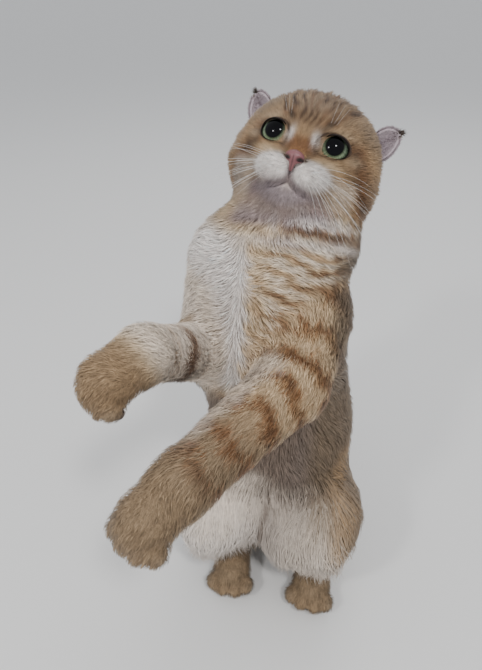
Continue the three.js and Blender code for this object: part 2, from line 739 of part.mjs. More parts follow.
// The ears, small thin cups held out to the sides and curled at the upper edge
const skullGap = headSkin(gap);
for (const [side, word] of [[1, "left"], [-1, "right"]]) {
  const lower = new THREE.QuadraticBezierCurve3(...ear.lower.map(vector));
  const upper = new THREE.QuadraticBezierCurve3(...ear.upper.map(vector));
  const surface = (u, v) => {
    const p = lower.getPoint(v).lerp(upper.getPoint(v), u);
    const across = 2 * u - 1;
    p.y += ear.bowl * (1 - across * across) * Math.sin(Math.PI * (0.25 + 0.7 * v));
    p.y -= ear.curl * Math.max(0, across) ** 2 * Math.sin(Math.PI * v);
    p.x *= side;
    return p;
  };
  const flap = sheetMesh(side > 0 ? surface : (u, v) => surface(1 - u, v), ear.thickness, 8, 8);
  nodes["ear_" + word] = largest(solid(flap.applyMatrix4(headPose)).subtract(skullGap));
}
nodes.head = largest(head);

// The coat's colours, and those of what shows bare
const coats = {
  golden: new THREE.MeshStandardMaterial({ color: 0xb8935f, roughness: 0.9, metalness: 0 }),
  cream: new THREE.MeshStandardMaterial({ color: 0xd9c6a6, roughness: 0.92, metalness: 0 }),
  tan: new THREE.MeshStandardMaterial({ color: 0xab8856, roughness: 0.9, metalness: 0 }),
  umber: new THREE.MeshStandardMaterial({ color: 0x947552, roughness: 0.9, metalness: 0 }),
  white: new THREE.MeshStandardMaterial({ color: 0xddd3c8, roughness: 0.92, metalness: 0 }),
  ear: new THREE.MeshStandardMaterial({ color: 0xc9aeb2, roughness: 0.8, metalness: 0 }),
  nose: new THREE.MeshStandardMaterial({ color: 0xb5686a, roughness: 0.55, metalness: 0 }),
  eye: new THREE.MeshStandardMaterial({ color: 0x5f7850, roughness: 0.08, metalness: 0 }),
};
const coatOf = {
  head: "golden",
  neck: "cream",
  torso: "cream",
  upper_arm: "golden",
  forearm: "golden",
  forepaw: "tan",
  thigh: "white",
  hindfoot: "tan",
  tail_base: "umber",
  tail_middle: "golden",
  tail_tip: "umber",
  ear: "ear",
  eye: "eye",
  nose: "nose",
};

// The part's origin is the middle of its base
const bounds = new THREE.Box3();
for (const made of Object.values(nodes)) {
  const { min, max } = made.boundingBox();
  bounds.expandByPoint(vector(min)).expandByPoint(vector(max));
}
const middle = bounds.getCenter(new THREE.Vector3());

const group = new THREE.Group();
group.position.set(-middle.x, -middle.y, -floor);
for (const [name, made] of Object.entries(nodes)) {
  const { vertProperties, triVerts } = made.getMesh();
  const geometry = shape(vertProperties, new THREE.BufferAttribute(triVerts, 1));
  const mesh = new THREE.Mesh(geometry, coats[coatOf[name] ?? coatOf[name.replace(/_(left|right)$/, "")]]);
  mesh.name = name;
  group.add(mesh);
}
export default group;
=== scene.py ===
# A Scottish Fold cat, life size, sitting up with both forelegs held out.
# Forms are given in millimetres in the cat's own frame, where it faces -Y, its left is +X and the
# floor is Z = 0. inMetres() and inMillimetres() change between that frame and the scene's.
import math

import bpy
import numpy as np
from mathutils import Matrix, Vector


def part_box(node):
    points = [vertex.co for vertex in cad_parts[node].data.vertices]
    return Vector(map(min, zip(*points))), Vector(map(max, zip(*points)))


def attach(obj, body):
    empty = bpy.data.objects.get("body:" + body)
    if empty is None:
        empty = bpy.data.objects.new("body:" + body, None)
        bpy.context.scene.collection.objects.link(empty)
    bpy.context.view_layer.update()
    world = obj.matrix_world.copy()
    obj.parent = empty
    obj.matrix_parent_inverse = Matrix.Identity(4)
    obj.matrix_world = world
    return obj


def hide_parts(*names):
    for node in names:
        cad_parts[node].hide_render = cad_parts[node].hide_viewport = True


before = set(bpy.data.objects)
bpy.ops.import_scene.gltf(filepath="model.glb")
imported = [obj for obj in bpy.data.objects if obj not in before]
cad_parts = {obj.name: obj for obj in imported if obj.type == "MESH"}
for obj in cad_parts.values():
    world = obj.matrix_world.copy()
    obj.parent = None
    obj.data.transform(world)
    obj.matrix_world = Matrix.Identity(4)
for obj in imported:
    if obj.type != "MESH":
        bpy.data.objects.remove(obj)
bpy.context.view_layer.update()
bpy.ops.object.select_all(action="DESELECT")
rng = np.random.default_rng(5)

# Middles of the body's masses and of the limbs' joints
joints = {
    "rump": (2, 22, 56), "belly": (0, 4, 118), "flank": (30, 22, 138), "chest": (-9, 18, 205),
    "neck": (-6, 36, 268), "ruff": (-38, 32, 276), "mane": (14, 34, 298), "head": (7.5, 65, 349),
    "shoulderLeft": (25, 14, 248), "elbowLeft": (15, -39, 222),
    "wristLeft": (-36, -132, 214), "pawLeft": (-50, -156, 208),
    "shoulderRight": (-50, 26, 250), "elbowRight": (-60, 6, 208),
    "wristRight": (-75, -76, 262), "pawRight": (-90, -101, 257.5),
    "groin": (23, -45, 66), "kneeLeft": (50, -35, 84), "kneeRight": (-42, -37, 83),
    "heelLeft": (42, 40, 18), "heelRight": (-34, 40, 18),
    "toesLeft": (48, -61, 15), "toesRight": (-24, -62, 15),
}
tailLine = [(2, 62, 26), (-2, 112, 18.5), (-14, 165, 16.5), (-34, 214, 15.5), (-60, 254, 13.5)]
limbs = {
    "foreLeft": {
        "along": ["shoulderLeft", "elbowLeft", "wristLeft", "pawLeft"], "radii": (30, 27, 20, 18), "soft": 10,
    },
    "foreRight": {
        "along": ["shoulderRight", "elbowRight", "wristRight", "pawRight"], "radii": (30, 25, 19, 18),
        "soft": 10, "swirl": 0.8,
    },
    "hindLeft": {"along": ["heelLeft", "toesLeft"], "radii": (17, 16), "soft": 4},
    "hindRight": {"along": ["heelRight", "toesRight"], "radii": (17, 16), "soft": 4},
    "tail": {"along": tailLine, "radii": (26, 20, 18, 17, 15), "soft": 8},
}
trunkBalls = [
    ("rump", (62, 60, 60), 0), ("belly", (60, 60, 78), 0), ("flank", (36, 42, 62), 0),
    ("chest", (64, 54, 78), -12), ("ruff", (40, 36, 44), 0), ("mane", (37, 34, 36), 0),
]
kneeBalls = [("groin", (19, 22, 25), 0), ("kneeLeft", (32, 43, 40), 10), ("kneeRight", (32, 43, 40), -10)]
paws = {
    "forepaw_left": {
        "at": "pawLeft", "forward": (-0.34, -0.72, -0.6), "back": (-0.2, -0.6, 0.78), "radii": (19, 17),
    },
    "forepaw_right": {
        "at": "pawRight", "forward": (-0.4, -0.5, -0.77), "back": (-0.45, -0.6, 0.6), "radii": (19, 17),
    },
    "hindfoot_left": {"at": "toesLeft", "forward": (-0.06, -1, 0), "back": (0, 0, 1), "radii": (17, 14)},
    "hindfoot_right": {"at": "toesRight", "forward": (0.06, -1, 0), "back": (0, 0, 1), "radii": (17, 14)},
}
toe = {
    "radius": 8.5, "spread": 5.6, "outerSpread": 14.5, "reach": 11, "outerReach": 7, "droop": 2, "knuckle": 4,
}

# Forms of the head in its own frame, which faces -Y too
skullBalls = [((0, 4, 3), (53, 48, 44)), ((27, -5, -15), (28, 31, 25)), ((-27, -5, -15), (28, 31, 25))]
muzzleBalls = [
    ((11.5, -38.5, -18.5), (15, 13.5, 11)), ((-11.5, -38.5, -18.5), (15, 13.5, 11)),
    ((0, -36, -31), (12, 11, 9)),
]
noseRidge = ((0, -30, 8), 14, (0, -43, -6), 7)
noseFill = ((0, -36, 0), (10, 11, 12))
headPose = {"pitch": 28, "roll": 12, "yaw": -3}
eyeSize = {"radius": 11.5, "x": 19.5, "y": -31, "z": 4, "lid": 1.4, "turnedOut": 9}
opening = {"halfWidth": 9.9, "halfHeight": 7.4, "raised": 0.9}
eyeCorner = {"reach": 0.2, "angle": 214, "width": 20}
mouthLine = [(0, -15.5), (0, -23.5), (3.5, -26.5), (8, -29), (13, -30)]
cheekLines = {
    "left": [(27, 8), (37, 8), (42, -3), (48, -14), (51, -28)],
    "right": [(26, 8), (31, 6), (36, -4), (39, -17), (41, -30)],
}


def unit(v):
    v = np.asarray(v, float)
    return v / np.maximum(np.linalg.norm(v, axis=-1, keepdims=True), 1e-9)


headAxes = np.array(
    Matrix.Rotation(math.radians(headPose["yaw"]), 3, "Z")
    @ Matrix.Rotation(math.radians(-headPose["pitch"]), 3, "X")
    @ Matrix.Rotation(math.radians(headPose["roll"]), 3, "Y")
)
headTurn = Matrix(headAxes.tolist()).to_euler()
headCentre = np.array(joints["head"], float)


def toHead(p):
    return (p - headCentre) @ headAxes


def fromHead(h):
    return np.asarray(h, float) @ headAxes.T + headCentre


def eyeCentre(side):
    return np.array([side * eyeSize["x"], eyeSize["y"], eyeSize["z"]])


def eyeAxes(side):
    # The gaze's own axes as columns, in the head's frame: across, inward along the gaze, up
    return np.array(Matrix.Rotation(side * math.radians(eyeSize["turnedOut"]), 3, "Z"))


def toEye(h, side):
    # A point of the head seen along the gaze of one eye: across, behind, up
    return (h - eyeCentre(side)) @ eyeAxes(side)


def fromEye(e, side):
    return e @ eyeAxes(side).T + eyeCentre(side)


# The frame's own place for the left eye tells where its origin lies
eyeLow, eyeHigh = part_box("eye_left")
eyeMiddle = (np.array(eyeLow) + np.array(eyeHigh)) * 500
catMiddle = fromHead(eyeCentre(1)) - eyeMiddle
catMiddle[2] = 0


def inMetres(p):
    return (np.asarray(p, float) - catMiddle) * 0.001


def inMillimetres(p):
    return np.asarray(p, float) * 1000 + catMiddle


# Fields: how far each point of an array lies outside a form, below zero inside it
def ball(p, centre, radii, turn=0):
    d = p - np.array(centre, float)
    if turn:
        c, s = math.cos(math.radians(turn)), math.sin(math.radians(turn))
        d = np.stack([c * d[:, 0] + s * d[:, 1], c * d[:, 1] - s * d[:, 0], d[:, 2]], 1)
    q = d / np.array(radii, float)
    near = np.linalg.norm(q, axis=1)
    slope = np.linalg.norm(q / np.array(radii, float), axis=1)
    return near * (near - 1) / np.maximum(slope, 1e-6)


def taper(p, a, ra, b, rb):
    a = np.array(a, float)
    d = np.array(b, float) - a
    t = np.clip((p - a) @ d / (d @ d), 0, 1)
    return np.linalg.norm(p - a - t[:, None] * d, axis=1) - (ra + t * (rb - ra))


def blend(soft, *fields):
    least = fields[0]
    for other in fields[1:]:
        near = np.maximum(soft - np.abs(least - other), 0) / soft
        least = np.minimum(least, other) - near * near * soft / 4
    return least


def massBalls(p, balls):
    return [ball(p, joints[key], radii, turn) for key, radii, turn in balls]


def limbPoints(name):
    return [np.array(joints[k] if isinstance(k, str) else k, float) for k in limbs[name]["along"]]


def limbParts(name):
    # The ends and radii of each length of a limb
    points, radii = limbPoints(name), limbs[name]["radii"]
    return list(zip(points, radii, points[1:], radii[1:]))


def limbField(p, name):
    return blend(limbs[name]["soft"], *[taper(p, *part) for part in limbParts(name)])


def pawParts(paw):
    middle = np.array(joints[paw["at"]], float)
    forward = unit(paw["forward"])
    back = unit(paw["back"])
    across = unit(np.cross(forward, back))
    knuckles = middle + toe["knuckle"] * forward
    toes = []
    for offset in (-toe["outerSpread"], -toe["spread"], toe["spread"], toe["outerSpread"]):
        reach = toe["outerReach"] if abs(offset) > toe["spread"] else toe["reach"]
        toes.append(knuckles + reach * forward + offset * across - toe["droop"] * back)
    return middle, knuckles, toes, forward, back, across


def pawField(p, paw):
    middle, knuckles, toes, forward, back, across = pawParts(paw)
    palm = taper(p, middle, paw["radii"][0], knuckles, paw["radii"][1])
    toeRadii = (toe["radius"], toe["radius"] + 1, toe["radius"])
    return blend(3.5, palm, *[ball(p, t, toeRadii) for t in toes])


def faceField(h):
    skull = blend(14, *[ball(h, *form) for form in skullBalls], taper(h, *noseRidge))
    globe = (eyeSize["radius"] + eyeSize["lid"],) * 3
    eyes = [ball(h, eyeCentre(side), globe) for side in (1, -1)]
    return blend(5, skull, *[ball(h, *form) for form in muzzleBalls], *eyes)


def trunkField(p):
    neck = taper(p, joints["neck"], 50, joints["head"], 40)
    return blend(22, *massBalls(p, trunkBalls), neck, *massBalls(p, kneeBalls))


def catField(p):
    coat = blend(12, trunkField(p), *[limbField(p, name) for name in limbs], faceField(toHead(p)))
    return blend(6, coat, *[pawField(p, paw) for paw in paws.values()])


def slopeOf(field, p):
    step = 0.05
    d = field(p)
    rise = np.stack([field(p + step * axis) - d for axis in np.eye(3)], 1) / step
    return d, rise


def settle(field, p, level, most, rounds):
    # Points moved along the field's slope until it stands at their level
    for again in range(rounds):
        d, rise = slopeOf(field, p)
        steep = np.maximum((rise * rise).sum(1), 0.2)
        move = np.clip((d - level) / steep, -most, most)
        p = p - rise * move[:, None]
    return p


# How strongly each point belongs to each region, 0 to 1, summing to 1
def regionsOf(p):
    h = toHead(p)
    groin, kneeLeft, kneeRight = massBalls(p, kneeBalls)
    near = {
        "head": faceField(h) + 4 * np.clip(-(h[:, 2] + 34) / 10, 0, 9),
        "trunk": blend(22, *massBalls(p, trunkBalls)),
        "thighLeft": np.minimum(kneeLeft, groin) - 3,
        "thighRight": kneeRight - 3,
    }
    for name in limbs:
        near[name] = limbField(p, name)
    for name, paw in paws.items():
        near[name] = pawField(p, paw) - 3
    share = {k: 1 / (1 + (np.maximum(d, 0) / 4) ** 3) for k, d in near.items()}
    total = sum(share.values())
    return {k: s / total for k, s in share.items()}


def smooth(a, b, x):
    t = np.clip((x - a) / (b - a), 0, 1)
    return t * t * (3 - 2 * t)


def bump(x, centre, width):
    return np.exp(-(((x - centre) / width) ** 2))


# Seeded waves summed into a soft noise of the given grain in millimetres, about -1 to 1
waveTable = {}


def noise(p, grain, seed=0):
    if (grain, seed) not in waveTable:
        draw = np.random.default_rng(1000 + seed)
        ways = unit(draw.normal(size=(14, 3))) * draw.uniform(0.6, 1.6, (14, 1))
        waveTable[(grain, seed)] = (ways * 2 * math.pi / grain, draw.uniform(0, 2 * math.pi, 14))
    waves, phase = waveTable[(grain, seed)]
    return np.sin(p @ waves.T + phase).sum(1) / 3.2


# Depth of the coat over the skin, in millimetres
coatDepth = {
    "head": 3.4, "trunk": 5.2, "thighLeft": 3.6, "thighRight": 3.6, "foreLeft": 3.8, "foreRight": 3.8,
    "hindLeft": 2.8, "hindRight": 2.8, "tail": 4.6,
    "forepaw_left": 1.9, "forepaw_right": 1.9, "hindfoot_left": 2.2, "hindfoot_right": 2.2,
    "muzzle": 1.3, "crown": 1.2,
}
noseAt = np.array([0, -46, -10])


def depthOf(p, regions):
    deep = sum(regions[k] * coatDepth[k] for k in regions)
    h = toHead(p)
    face = 1 - smooth(14, 62, np.linalg.norm((h - noseAt) * (1, 0.8, 1), axis=1))
    throat = bump(h[:, 2], -46, 16) * smooth(10, -15, h[:, 1])
    deep = deep * (1 - 0.4 * throat) + coatDepth["crown"] * regions["head"] * smooth(26, 38, h[:, 2])
    return deep * (1 - face * regions["head"]) + coatDepth["muzzle"] * face * regions["head"]


def lineDistance(across, up, line):
    # How far points of a plane are from a bent line in it
    nearest = np.full(len(across), 99.0)
    for (ax, az), (bx, bz) in zip(line, line[1:]):
        dx, dz = bx - ax, bz - az
        t = np.clip(((across - ax) * dx + (up - az) * dz) / (dx * dx + dz * dz), 0, 1)
        nearest = np.minimum(nearest, np.hypot(across - ax - t * dx, up - az - t * dz))
    return nearest


def mouthDistance(h):
    # Seen from in front
    return np.where(h[:, 1] < -25, lineDistance(np.abs(h[:, 0]), h[:, 2], mouthLine), 99.0)


def openingShare(e, side):
    # The opening between the lids is an ellipse whose inner corner is drawn towards the nose:
    # the share is 1 on its edge and below 1 inside it
    across = e[:, 0] * side
    up = e[:, 2] - opening["raised"]
    angle = np.degrees(np.arctan2(up, across)) % 360
    reach = 1 + eyeCorner["reach"] * bump(angle, eyeCorner["angle"], eyeCorner["width"])
    return np.hypot(across / opening["halfWidth"], up / opening["halfHeight"]) / reach


# Colours as they look in the photograph's soft light
def colour(red, green, blue):
    c = np.array([red, green, blue]) / 255
    return np.where(c <= 0.04045, c / 12.92, ((c + 0.055) / 1.055) ** 2.4)


coatColours = {
    "golden": colour(186, 150, 108),
    "sandy": colour(145, 119, 90),
    "tan": colour(134, 118, 97),
    "cream": colour(222, 196, 160),
    "ivory": colour(238, 222, 204),
    "white": colour(244, 234, 226),
    "rust": colour(140, 96, 60),
    "umber": colour(118, 103, 86),
    "dark": colour(72, 55, 42),
    # The next colour is painted shade on white fur: under the chin, the pads and the throat, and in the
    # mouth's crease
    "lilacShade": colour(148, 134, 140),
    "taupe": colour(128, 113, 102),
}


def blendTo(base, tone, share):
    return base + (tone - base) * share[:, None]


def mixIn(base, *layers):
    # Coat colours laid over one another, each by its own share
    for name, share in layers:
        base = blendTo(base, coatColours[name], np.clip(share, 0, 1))
    return base


def faceView(h):
    # Seen from in front: across, up, how far aside, and 1 on the front of the face
    x, z = h[:, 0], h[:, 2]
    return x, z, np.abs(x), smooth(-4, -20, h[:, 1])


foreheadLines = {"at": (-16.5, -11.5, -7, -2.5, 2, 6.5, 11, 16), "width": 1.5, "fan": 0.016, "wave": 0.9}


def foreheadColours(h, base):
    # Thin wavy lines up over the crown, and dark marks over the inner ends of the eyes
    x, z, side, front = faceView(h)
    climb = z + 0.6 * (h[:, 1] + 42)
    wander = x + foreheadLines["wave"] * np.sin(climb / 4.6 + 0.25 * x) + 1.6 * noise(h, 24, 3)
    fan = 1 + foreheadLines["fan"] * (climb - 16)
    over = smooth(11, 17, z) * smooth(52, 34, h[:, 1] + 20)
    lines = sum(bump(wander, at * fan, foreheadLines["width"]) for at in foreheadLines["at"])
    sway = 0.8 * np.sin(z / 2.2)
    brow = sum(bump(x, s * 13.5 + 0.3 * s * (z - 17) + sway, 2.8) for s in (1, -1)) * bump(z, 17.5, 5.2)
    return mixIn(
        base,
        ("rust", 0.5 * lines * over),
        ("dark", lines * over * np.clip(0.85 + 0.5 * noise(h, 15, 5), 0.35, 1)),
        ("rust", 0.5 * bump(side, 15, 5) * bump(z, 17, 5) * front),
        ("dark", 1.15 * brow * front),
    )


def cheekColours(h, base):
    # Stripes from the outer corner of each eye back, then down the side of the face
    x, z, side, front = faceView(h)
    across, up = side + 0.8 * noise(h, 13, 5), z + 0.8 * noise(h, 15, 6)
    left, right = (lineDistance(across, up, cheekLines[word]) for word in ("left", "right"))
    stripe = bump(np.where(x > 0, left, right), 0, np.where(x > 0, 4.4, 5.4)) * smooth(25, 30, side)
    patchy = np.clip(0.85 + 0.4 * noise(h, 11, 13), 0.4, 1)
    low = bump(z, -5 - 0.4 * (side - 30) + 1.6 * noise(h, 12, 10), 1.8)
    low = low * smooth(30, 35, side) * smooth(48, 42, side)
    return mixIn(
        base,
        ("rust", 1.05 * stripe),
        ("dark", np.where(x > 0, 0.9, 1.2) * stripe * patchy + 0.6 * low),
    )


def muzzleColours(h, base):
    x, z, side, front = faceView(h)
    bridge = smooth(13, 8, side + 0.3 * np.abs(z)) * smooth(7, 2, z) * smooth(-9, -4, z) * front
    flank = bump(side, 11.3, 2.6) * bump(z, -3.5, 3.6) * front
    inner = bump(side + 0.25 * (z - 4), 9.6, 2.5) * bump(z, 4.8, 4.4) * front
    pad = smooth(1.24, 0.86, np.hypot((side - 13.8) / 13.6, (z + 18) / 9.4)) * front
    rows = bump((z + 13.5) % 3.4, 1.7, 0.6) * bump(side, 17, 7) * smooth(-0.2, 0.5, noise(h, 6, 17))
    chin = smooth(-23, -26, z) * smooth(26, 16, side)
    lower = smooth(-11, -18, z) * smooth(25, 31, side) * smooth(47, 41, side) * front
    return mixIn(
        base,
        # Bridge of the nose and the fur beside the leather
        ("rust", 0.9 * bridge), ("dark", 0.3 * bridge),
        ("rust", 0.7 * flank), ("dark", 0.65 * flank),
        # Pale spots at the inner corners of the eyes, and pale fur under and over them
        ("white", 1.1 * inner),
        ("cream", 0.85 * bump(side, 21, 9) * bump(z, -7.5, 2.6) * front),
        ("cream", 0.45 * bump(side, 36, 5) * bump(z, 1, 3.5) * front),
        ("cream", 0.55 * bump(side, 22, 8) * bump(z, 14.5, 2.2) * front),
        # Muzzle pads with their rows of dots, chin, throat and lower cheeks, with painted shade under the
        # pads and the chin
        ("white", 0.98 * pad), ("lilacShade", 0.4 * pad * smooth(-20, -28, z)),
        ("dark", 0.8 * rows * pad * smooth(-24, -20, z)),
        # Painted shade in the hollows beside the wings of the nose
        ("dark", 1.1 * bump(side, 7.6, 2.4) * bump(z, -9.5, 2.4) * front),
        ("white", 0.5 * chin * front),
        ("lilacShade", 0.8 * smooth(-25, -32, z) * smooth(36, 24, side) * front),
        ("ivory", 0.42 * lower),
        # Line of the mouth: darker lip skin, with painted shade in its crease
        ("lilacShade", 0.8 * bump(mouthDistance(h), 0, 2.6)), ("dark", 0.3 * bump(mouthDistance(h), 0, 1.3)),
    )


def eyeRimColours(h, base):
    # Dark rims round the lids, drawn out behind the outer corners
    for s in (1, -1):
        e = toEye(h, s)
        across, up = e[:, 0] * s, e[:, 2]
        near = (e[:, 1] < 0) * (h[:, 0] * s > 0)
        top = smooth(-3, 6, up)
        rim = bump(openingShare(e, s), 1.08 + 0.05 * top, 0.08 + 0.09 * top)
        liner = bump(up, 2.5 - 0.25 * across, 1.4) * smooth(8.5, 10, across) * smooth(17, 12, across)
        base = mixIn(base, ("dark", 1.1 * rim * near), ("dark", 0.8 * liner * near))
    return base


def headColours(p):
    h = toHead(p)
    base = np.tile(coatColours["sandy"], (len(h), 1))
    base = mixIn(
        base,
        ("golden", 0.3 + 0.25 * noise(p, 30, 1)),
        ("umber", 0.55 * smooth(12, 28, h[:, 2]) + 0.4 * smooth(-10, 20, h[:, 1])),
    )
    for paintOver in (foreheadColours, cheekColours, muzzleColours, eyeRimColours):
        base = paintOver(h, base)
    return base


def alongLimb(p, name):
    # Millimetres along a limb from its start to a point's foot on it, and the way from that foot
    points = limbPoints(name)
    best = np.full(len(p), 1e9)
    along = np.zeros(len(p))
    off = np.zeros((len(p), 3))
    start = 0
    for a, b in zip(points, points[1:]):
        d = b - a
        length = np.linalg.norm(d)
        t = np.clip((p - a) @ d / (d @ d), 0, 1)
        gap = p - a - t[:, None] * d
        away = np.linalg.norm(gap, axis=1)
        along = np.where(away < best, start + t * length, along)
        off = np.where((away < best)[:, None], gap, off)
        best = np.minimum(best, away)
        start += length
    return along, off


# Ripples of the chest, -1 to 1, in height and in colour: they run across it and down to its left
def rippleOf(p):
    slant = p[:, 2] + 0.24 * p[:, 0] + 3.6 * noise(p, 44, 31) + 1.3 * noise(p, 13, 32)
    return np.sin(2 * math.pi * slant / 11.5)


def trunkColours(p, base, trunk):
    h = toHead(p)
    x, y, z = p.T
    soft, fine = noise(p, 30, 1), noise(p, 9, 2)
    rear = y - 10 * smooth(-15, -45, x) * smooth(185, 205, z)
    front = smooth(36, 8, rear + 2 * soft)
    # The left edge of the pale front draws in towards the neck
    edge = 41 - 17 * smooth(250, 195, z)
    leftSide = smooth(edge - 9, edge + 9, x + 3 * soft) * smooth(330, 290, z)
    back = np.maximum(smooth(10, 40, rear + 4 * soft), leftSide)
    bars = smooth(0.1, 0.8, np.sin(2 * math.pi * (z + 0.35 * y + 7 * soft) / 27))
    ripple = rippleOf(p)
    chest = trunk * smooth(186, 204, z)
    onLeft = smooth(-19, -3, x + 3 * fine)
    crest = smooth(-0.1, 0.7, ripple + 0.3 * fine)
    bib = smooth(-17, -27, x + 3 * fine) * smooth(306, 288, z + 0.3 * x) * smooth(190, 210, z)
    fold = h[:, 2] + 55 - 0.22 * h[:, 0]
    throat = trunk * front
    forward = smooth(12, -18, y + 0.4 * np.maximum(np.abs(x - 2) - 30, 0))
    pale = smooth(14, -14, z - 129 + 0.42 * np.maximum(x, 0) + 4 * soft) * forward
    brown = smooth(52, 64, x + 2 * soft) * smooth(66, 84, z) * smooth(140, 126, z) * smooth(20, -10, y)
    # Painted shade in the crease between the thighs
    crease = bump(x - 1 - 0.06 * (z - 60), 0, 2.6) * smooth(130, 115, z) * smooth(-20, -45, y)
    return mixIn(
        base,
        # Chest: cream with wavy golden ripples on the left, a white bib on the right
        ("cream", chest * (0.95 - 0.3 * onLeft * smooth(-0.5, 0.6, ripple))),
        ("rust", chest * onLeft * 0.9 * crest * np.clip(0.8 + 0.4 * soft, 0.4, 1)),
        ("dark", chest * onLeft * 0.5 * smooth(0.2, 0.9, ripple) * smooth(-0.8, 0.4, soft)),
        # Painted highlight: ivory in the troughs of the ripples
        ("ivory", chest * onLeft * 0.7 * smooth(-0.2, -0.9, ripple)),
        ("golden", chest * (1 - onLeft) * 0.45 * crest),
        ("white", 1.05 * bib * trunk * front),
        # Back and flanks: a greyer brown, barred
        ("umber", 0.9 * back * trunk),
        ("dark", 0.35 * trunk * smooth(edge + 2, edge + 14, x) * smooth(200, 230, z) * smooth(320, 290, z)),
        ("dark", 0.34 * bars * back * trunk * smooth(-20, 20, y)),
        # Under the chin: painted shade over the throat, then a brown fold and a pale collar
        ("lilacShade", 0.85 * throat * smooth(-4, 5, fold) * smooth(44, 28, np.abs(h[:, 0]))),
        ("white", 0.75 * throat * bump(fold, 3.5 + 1.5 * fine, 2.6) * smooth(4, 16, h[:, 0])),
        ("rust", 0.85 * throat * bump(fold, -2.5 + 1.5 * fine, 3) * smooth(-6, 14, h[:, 0])),
        ("dark", 0.8 * throat * bump(fold, -2.5 + fine, 2.2) * smooth(2, 24, h[:, 0])),
        ("white", 0.6 * throat * bump(fold, -10, 3.6)),
        # Belly and thighs: taupe above, pale long hair below, brown on the outside of the left thigh, and
        # painted shade in the crease between the thighs and down their pale middle
        ("taupe", 0.95 * trunk * front * smooth(202, 180, z) * smooth(44, 26, x)),
        ("ivory", (0.95 - 0.2 * smooth(0, 40, x)) * pale * trunk),
        ("white", 0.5 * pale * trunk * smooth(104, 80, z + 6 * soft) * smooth(30, 0, x)),
        ("golden", 0.7 * brown * trunk),
        ("umber", 0.8 * smooth(62, 74, x) * trunk * smooth(56, 76, z)),
        ("taupe", (0.5 * crease + 0.5 * bump(x, 6, 17) * pale) * trunk),
    )


def nearForelegColours(p, base, leg):
    # Golden with dark patches across it, pale on its upper side
    x, y = p[:, 0], p[:, 1]
    soft, fine = noise(p, 30, 1), noise(p, 9, 2)
    along, off = alongLimb(p, "foreLeft")
    wave = np.cos(2 * math.pi * (along + 3 * soft + 3 * fine) / 27)
    patch = smooth(-0.1, 0.7, wave) * (0.9 + 0.4 * fine)
    upper = smooth(15, 22, off @ unit((-0.45, 0.5, 0.75)) + 1.5 * fine)
    return mixIn(
        base,
        ("cream", 0.62 * leg * smooth(0.5, -0.4, wave) * smooth(150, 80, along)),
        ("tan", 0.75 * leg * smooth(80, 140, along)),
        ("rust", leg * patch * smooth(178, 145, along)),
        ("dark", 0.5 * leg * patch * smooth(0.6, 1, wave) * smooth(190, 160, along)),
        ("ivory", 0.6 * leg * upper * smooth(40, 60, along) * smooth(165, 140, along)),
        ("umber", 0.9 * leg * smooth(34, 46, x + 2 * fine) * smooth(-34, -14, y)),
    )


def farForelegColours(p, base, leg):
    # Cream and white, with a rust crease near the elbow and a golden line, brown on its outer side
    x, y = p[:, 0], p[:, 1]
    soft, fine = noise(p, 30, 1), noise(p, 9, 2)
    along, off = alongLimb(p, "foreRight")
    leg = np.clip(1.5 * leg, 0, 1)
    crease = leg * bump(along + 1.5 * soft, 109, 5.5) * smooth(-28, -40, y)
    outer = smooth(3, 15, off @ unit((-0.45, 0.85, -0.3)) + 2 * fine)
    return mixIn(
        base,
        ("cream", 0.95 * leg * smooth(170, 150, along)),
        ("ivory", 0.9 * leg * smooth(160, 138, along)),
        ("white", 0.5 * leg * smooth(158, 138, along)),
        ("cream", 0.25 * leg * smooth(158, 138, along)),
        ("rust", 1.2 * crease), ("dark", 0.6 * crease),
        ("golden", 0.8 * leg * bump(along, 134 + soft, 1.8) * smooth(-78, -66, x)),
        ("golden", 0.8 * leg * outer), ("umber", 0.6 * leg * outer),
    )


def pawColours(p, base, paw, share):
    # Tan, ticked, paler over the toes, with painted shade in the grooves between them
    middle, knuckles, toes, forward, back, across = pawParts(paw)
    reach, offset, proud = ((p - knuckles) @ way for way in (forward, across, back))
    offset = np.abs(offset)
    ticks = smooth(0, 0.7, noise(p * (0.8, 0.8, 1.7), 8, 14))
    groove = np.maximum(bump(offset, 0, 1), bump(offset, 10, 1)) * smooth(7, 12, reach) * (proud > -2)
    return mixIn(
        base,
        ("tan", 0.95 * share),
        ("golden", 0.4 * share * smooth(9, 18, reach)),
        ("dark", 0.62 * share * ticks * smooth(16, 6, reach)),
        # Painted shade in the grooves between the toes
        ("dark", 0.45 * share * groove),
    )


def tailColours(p, base, share):
    # Ringed, dark at the tip
    along = alongLimb(p, "tail")[0]
    rings = smooth(-0.1, 0.6, np.sin(2 * math.pi * (along + 3 * noise(p, 30, 1)) / 34))
    rings = np.maximum(rings, smooth(168, 184, along))
    return mixIn(base, ("umber", 0.6 * share), ("dark", 0.6 * share * rings))


def markings(p):
    regions = regionsOf(p)
    base = np.tile(coatColours["golden"], (len(p), 1))
    base = trunkColours(p, base, regions["trunk"] + regions["thighLeft"] + regions["thighRight"])
    base = nearForelegColours(p, base, regions["foreLeft"])
    base = farForelegColours(p, base, regions["foreRight"])
    for name, paw in paws.items():
        base = pawColours(p, base, paw, regions[name])
    base = mixIn(base, ("tan", 0.85 * regions["hindLeft"]), ("tan", 0.85 * regions["hindRight"]))
    base = tailColours(p, base, regions["tail"])
    base = blendTo(base, headColours(p), regions["head"])
    return np.clip(base, 0.001, 1)


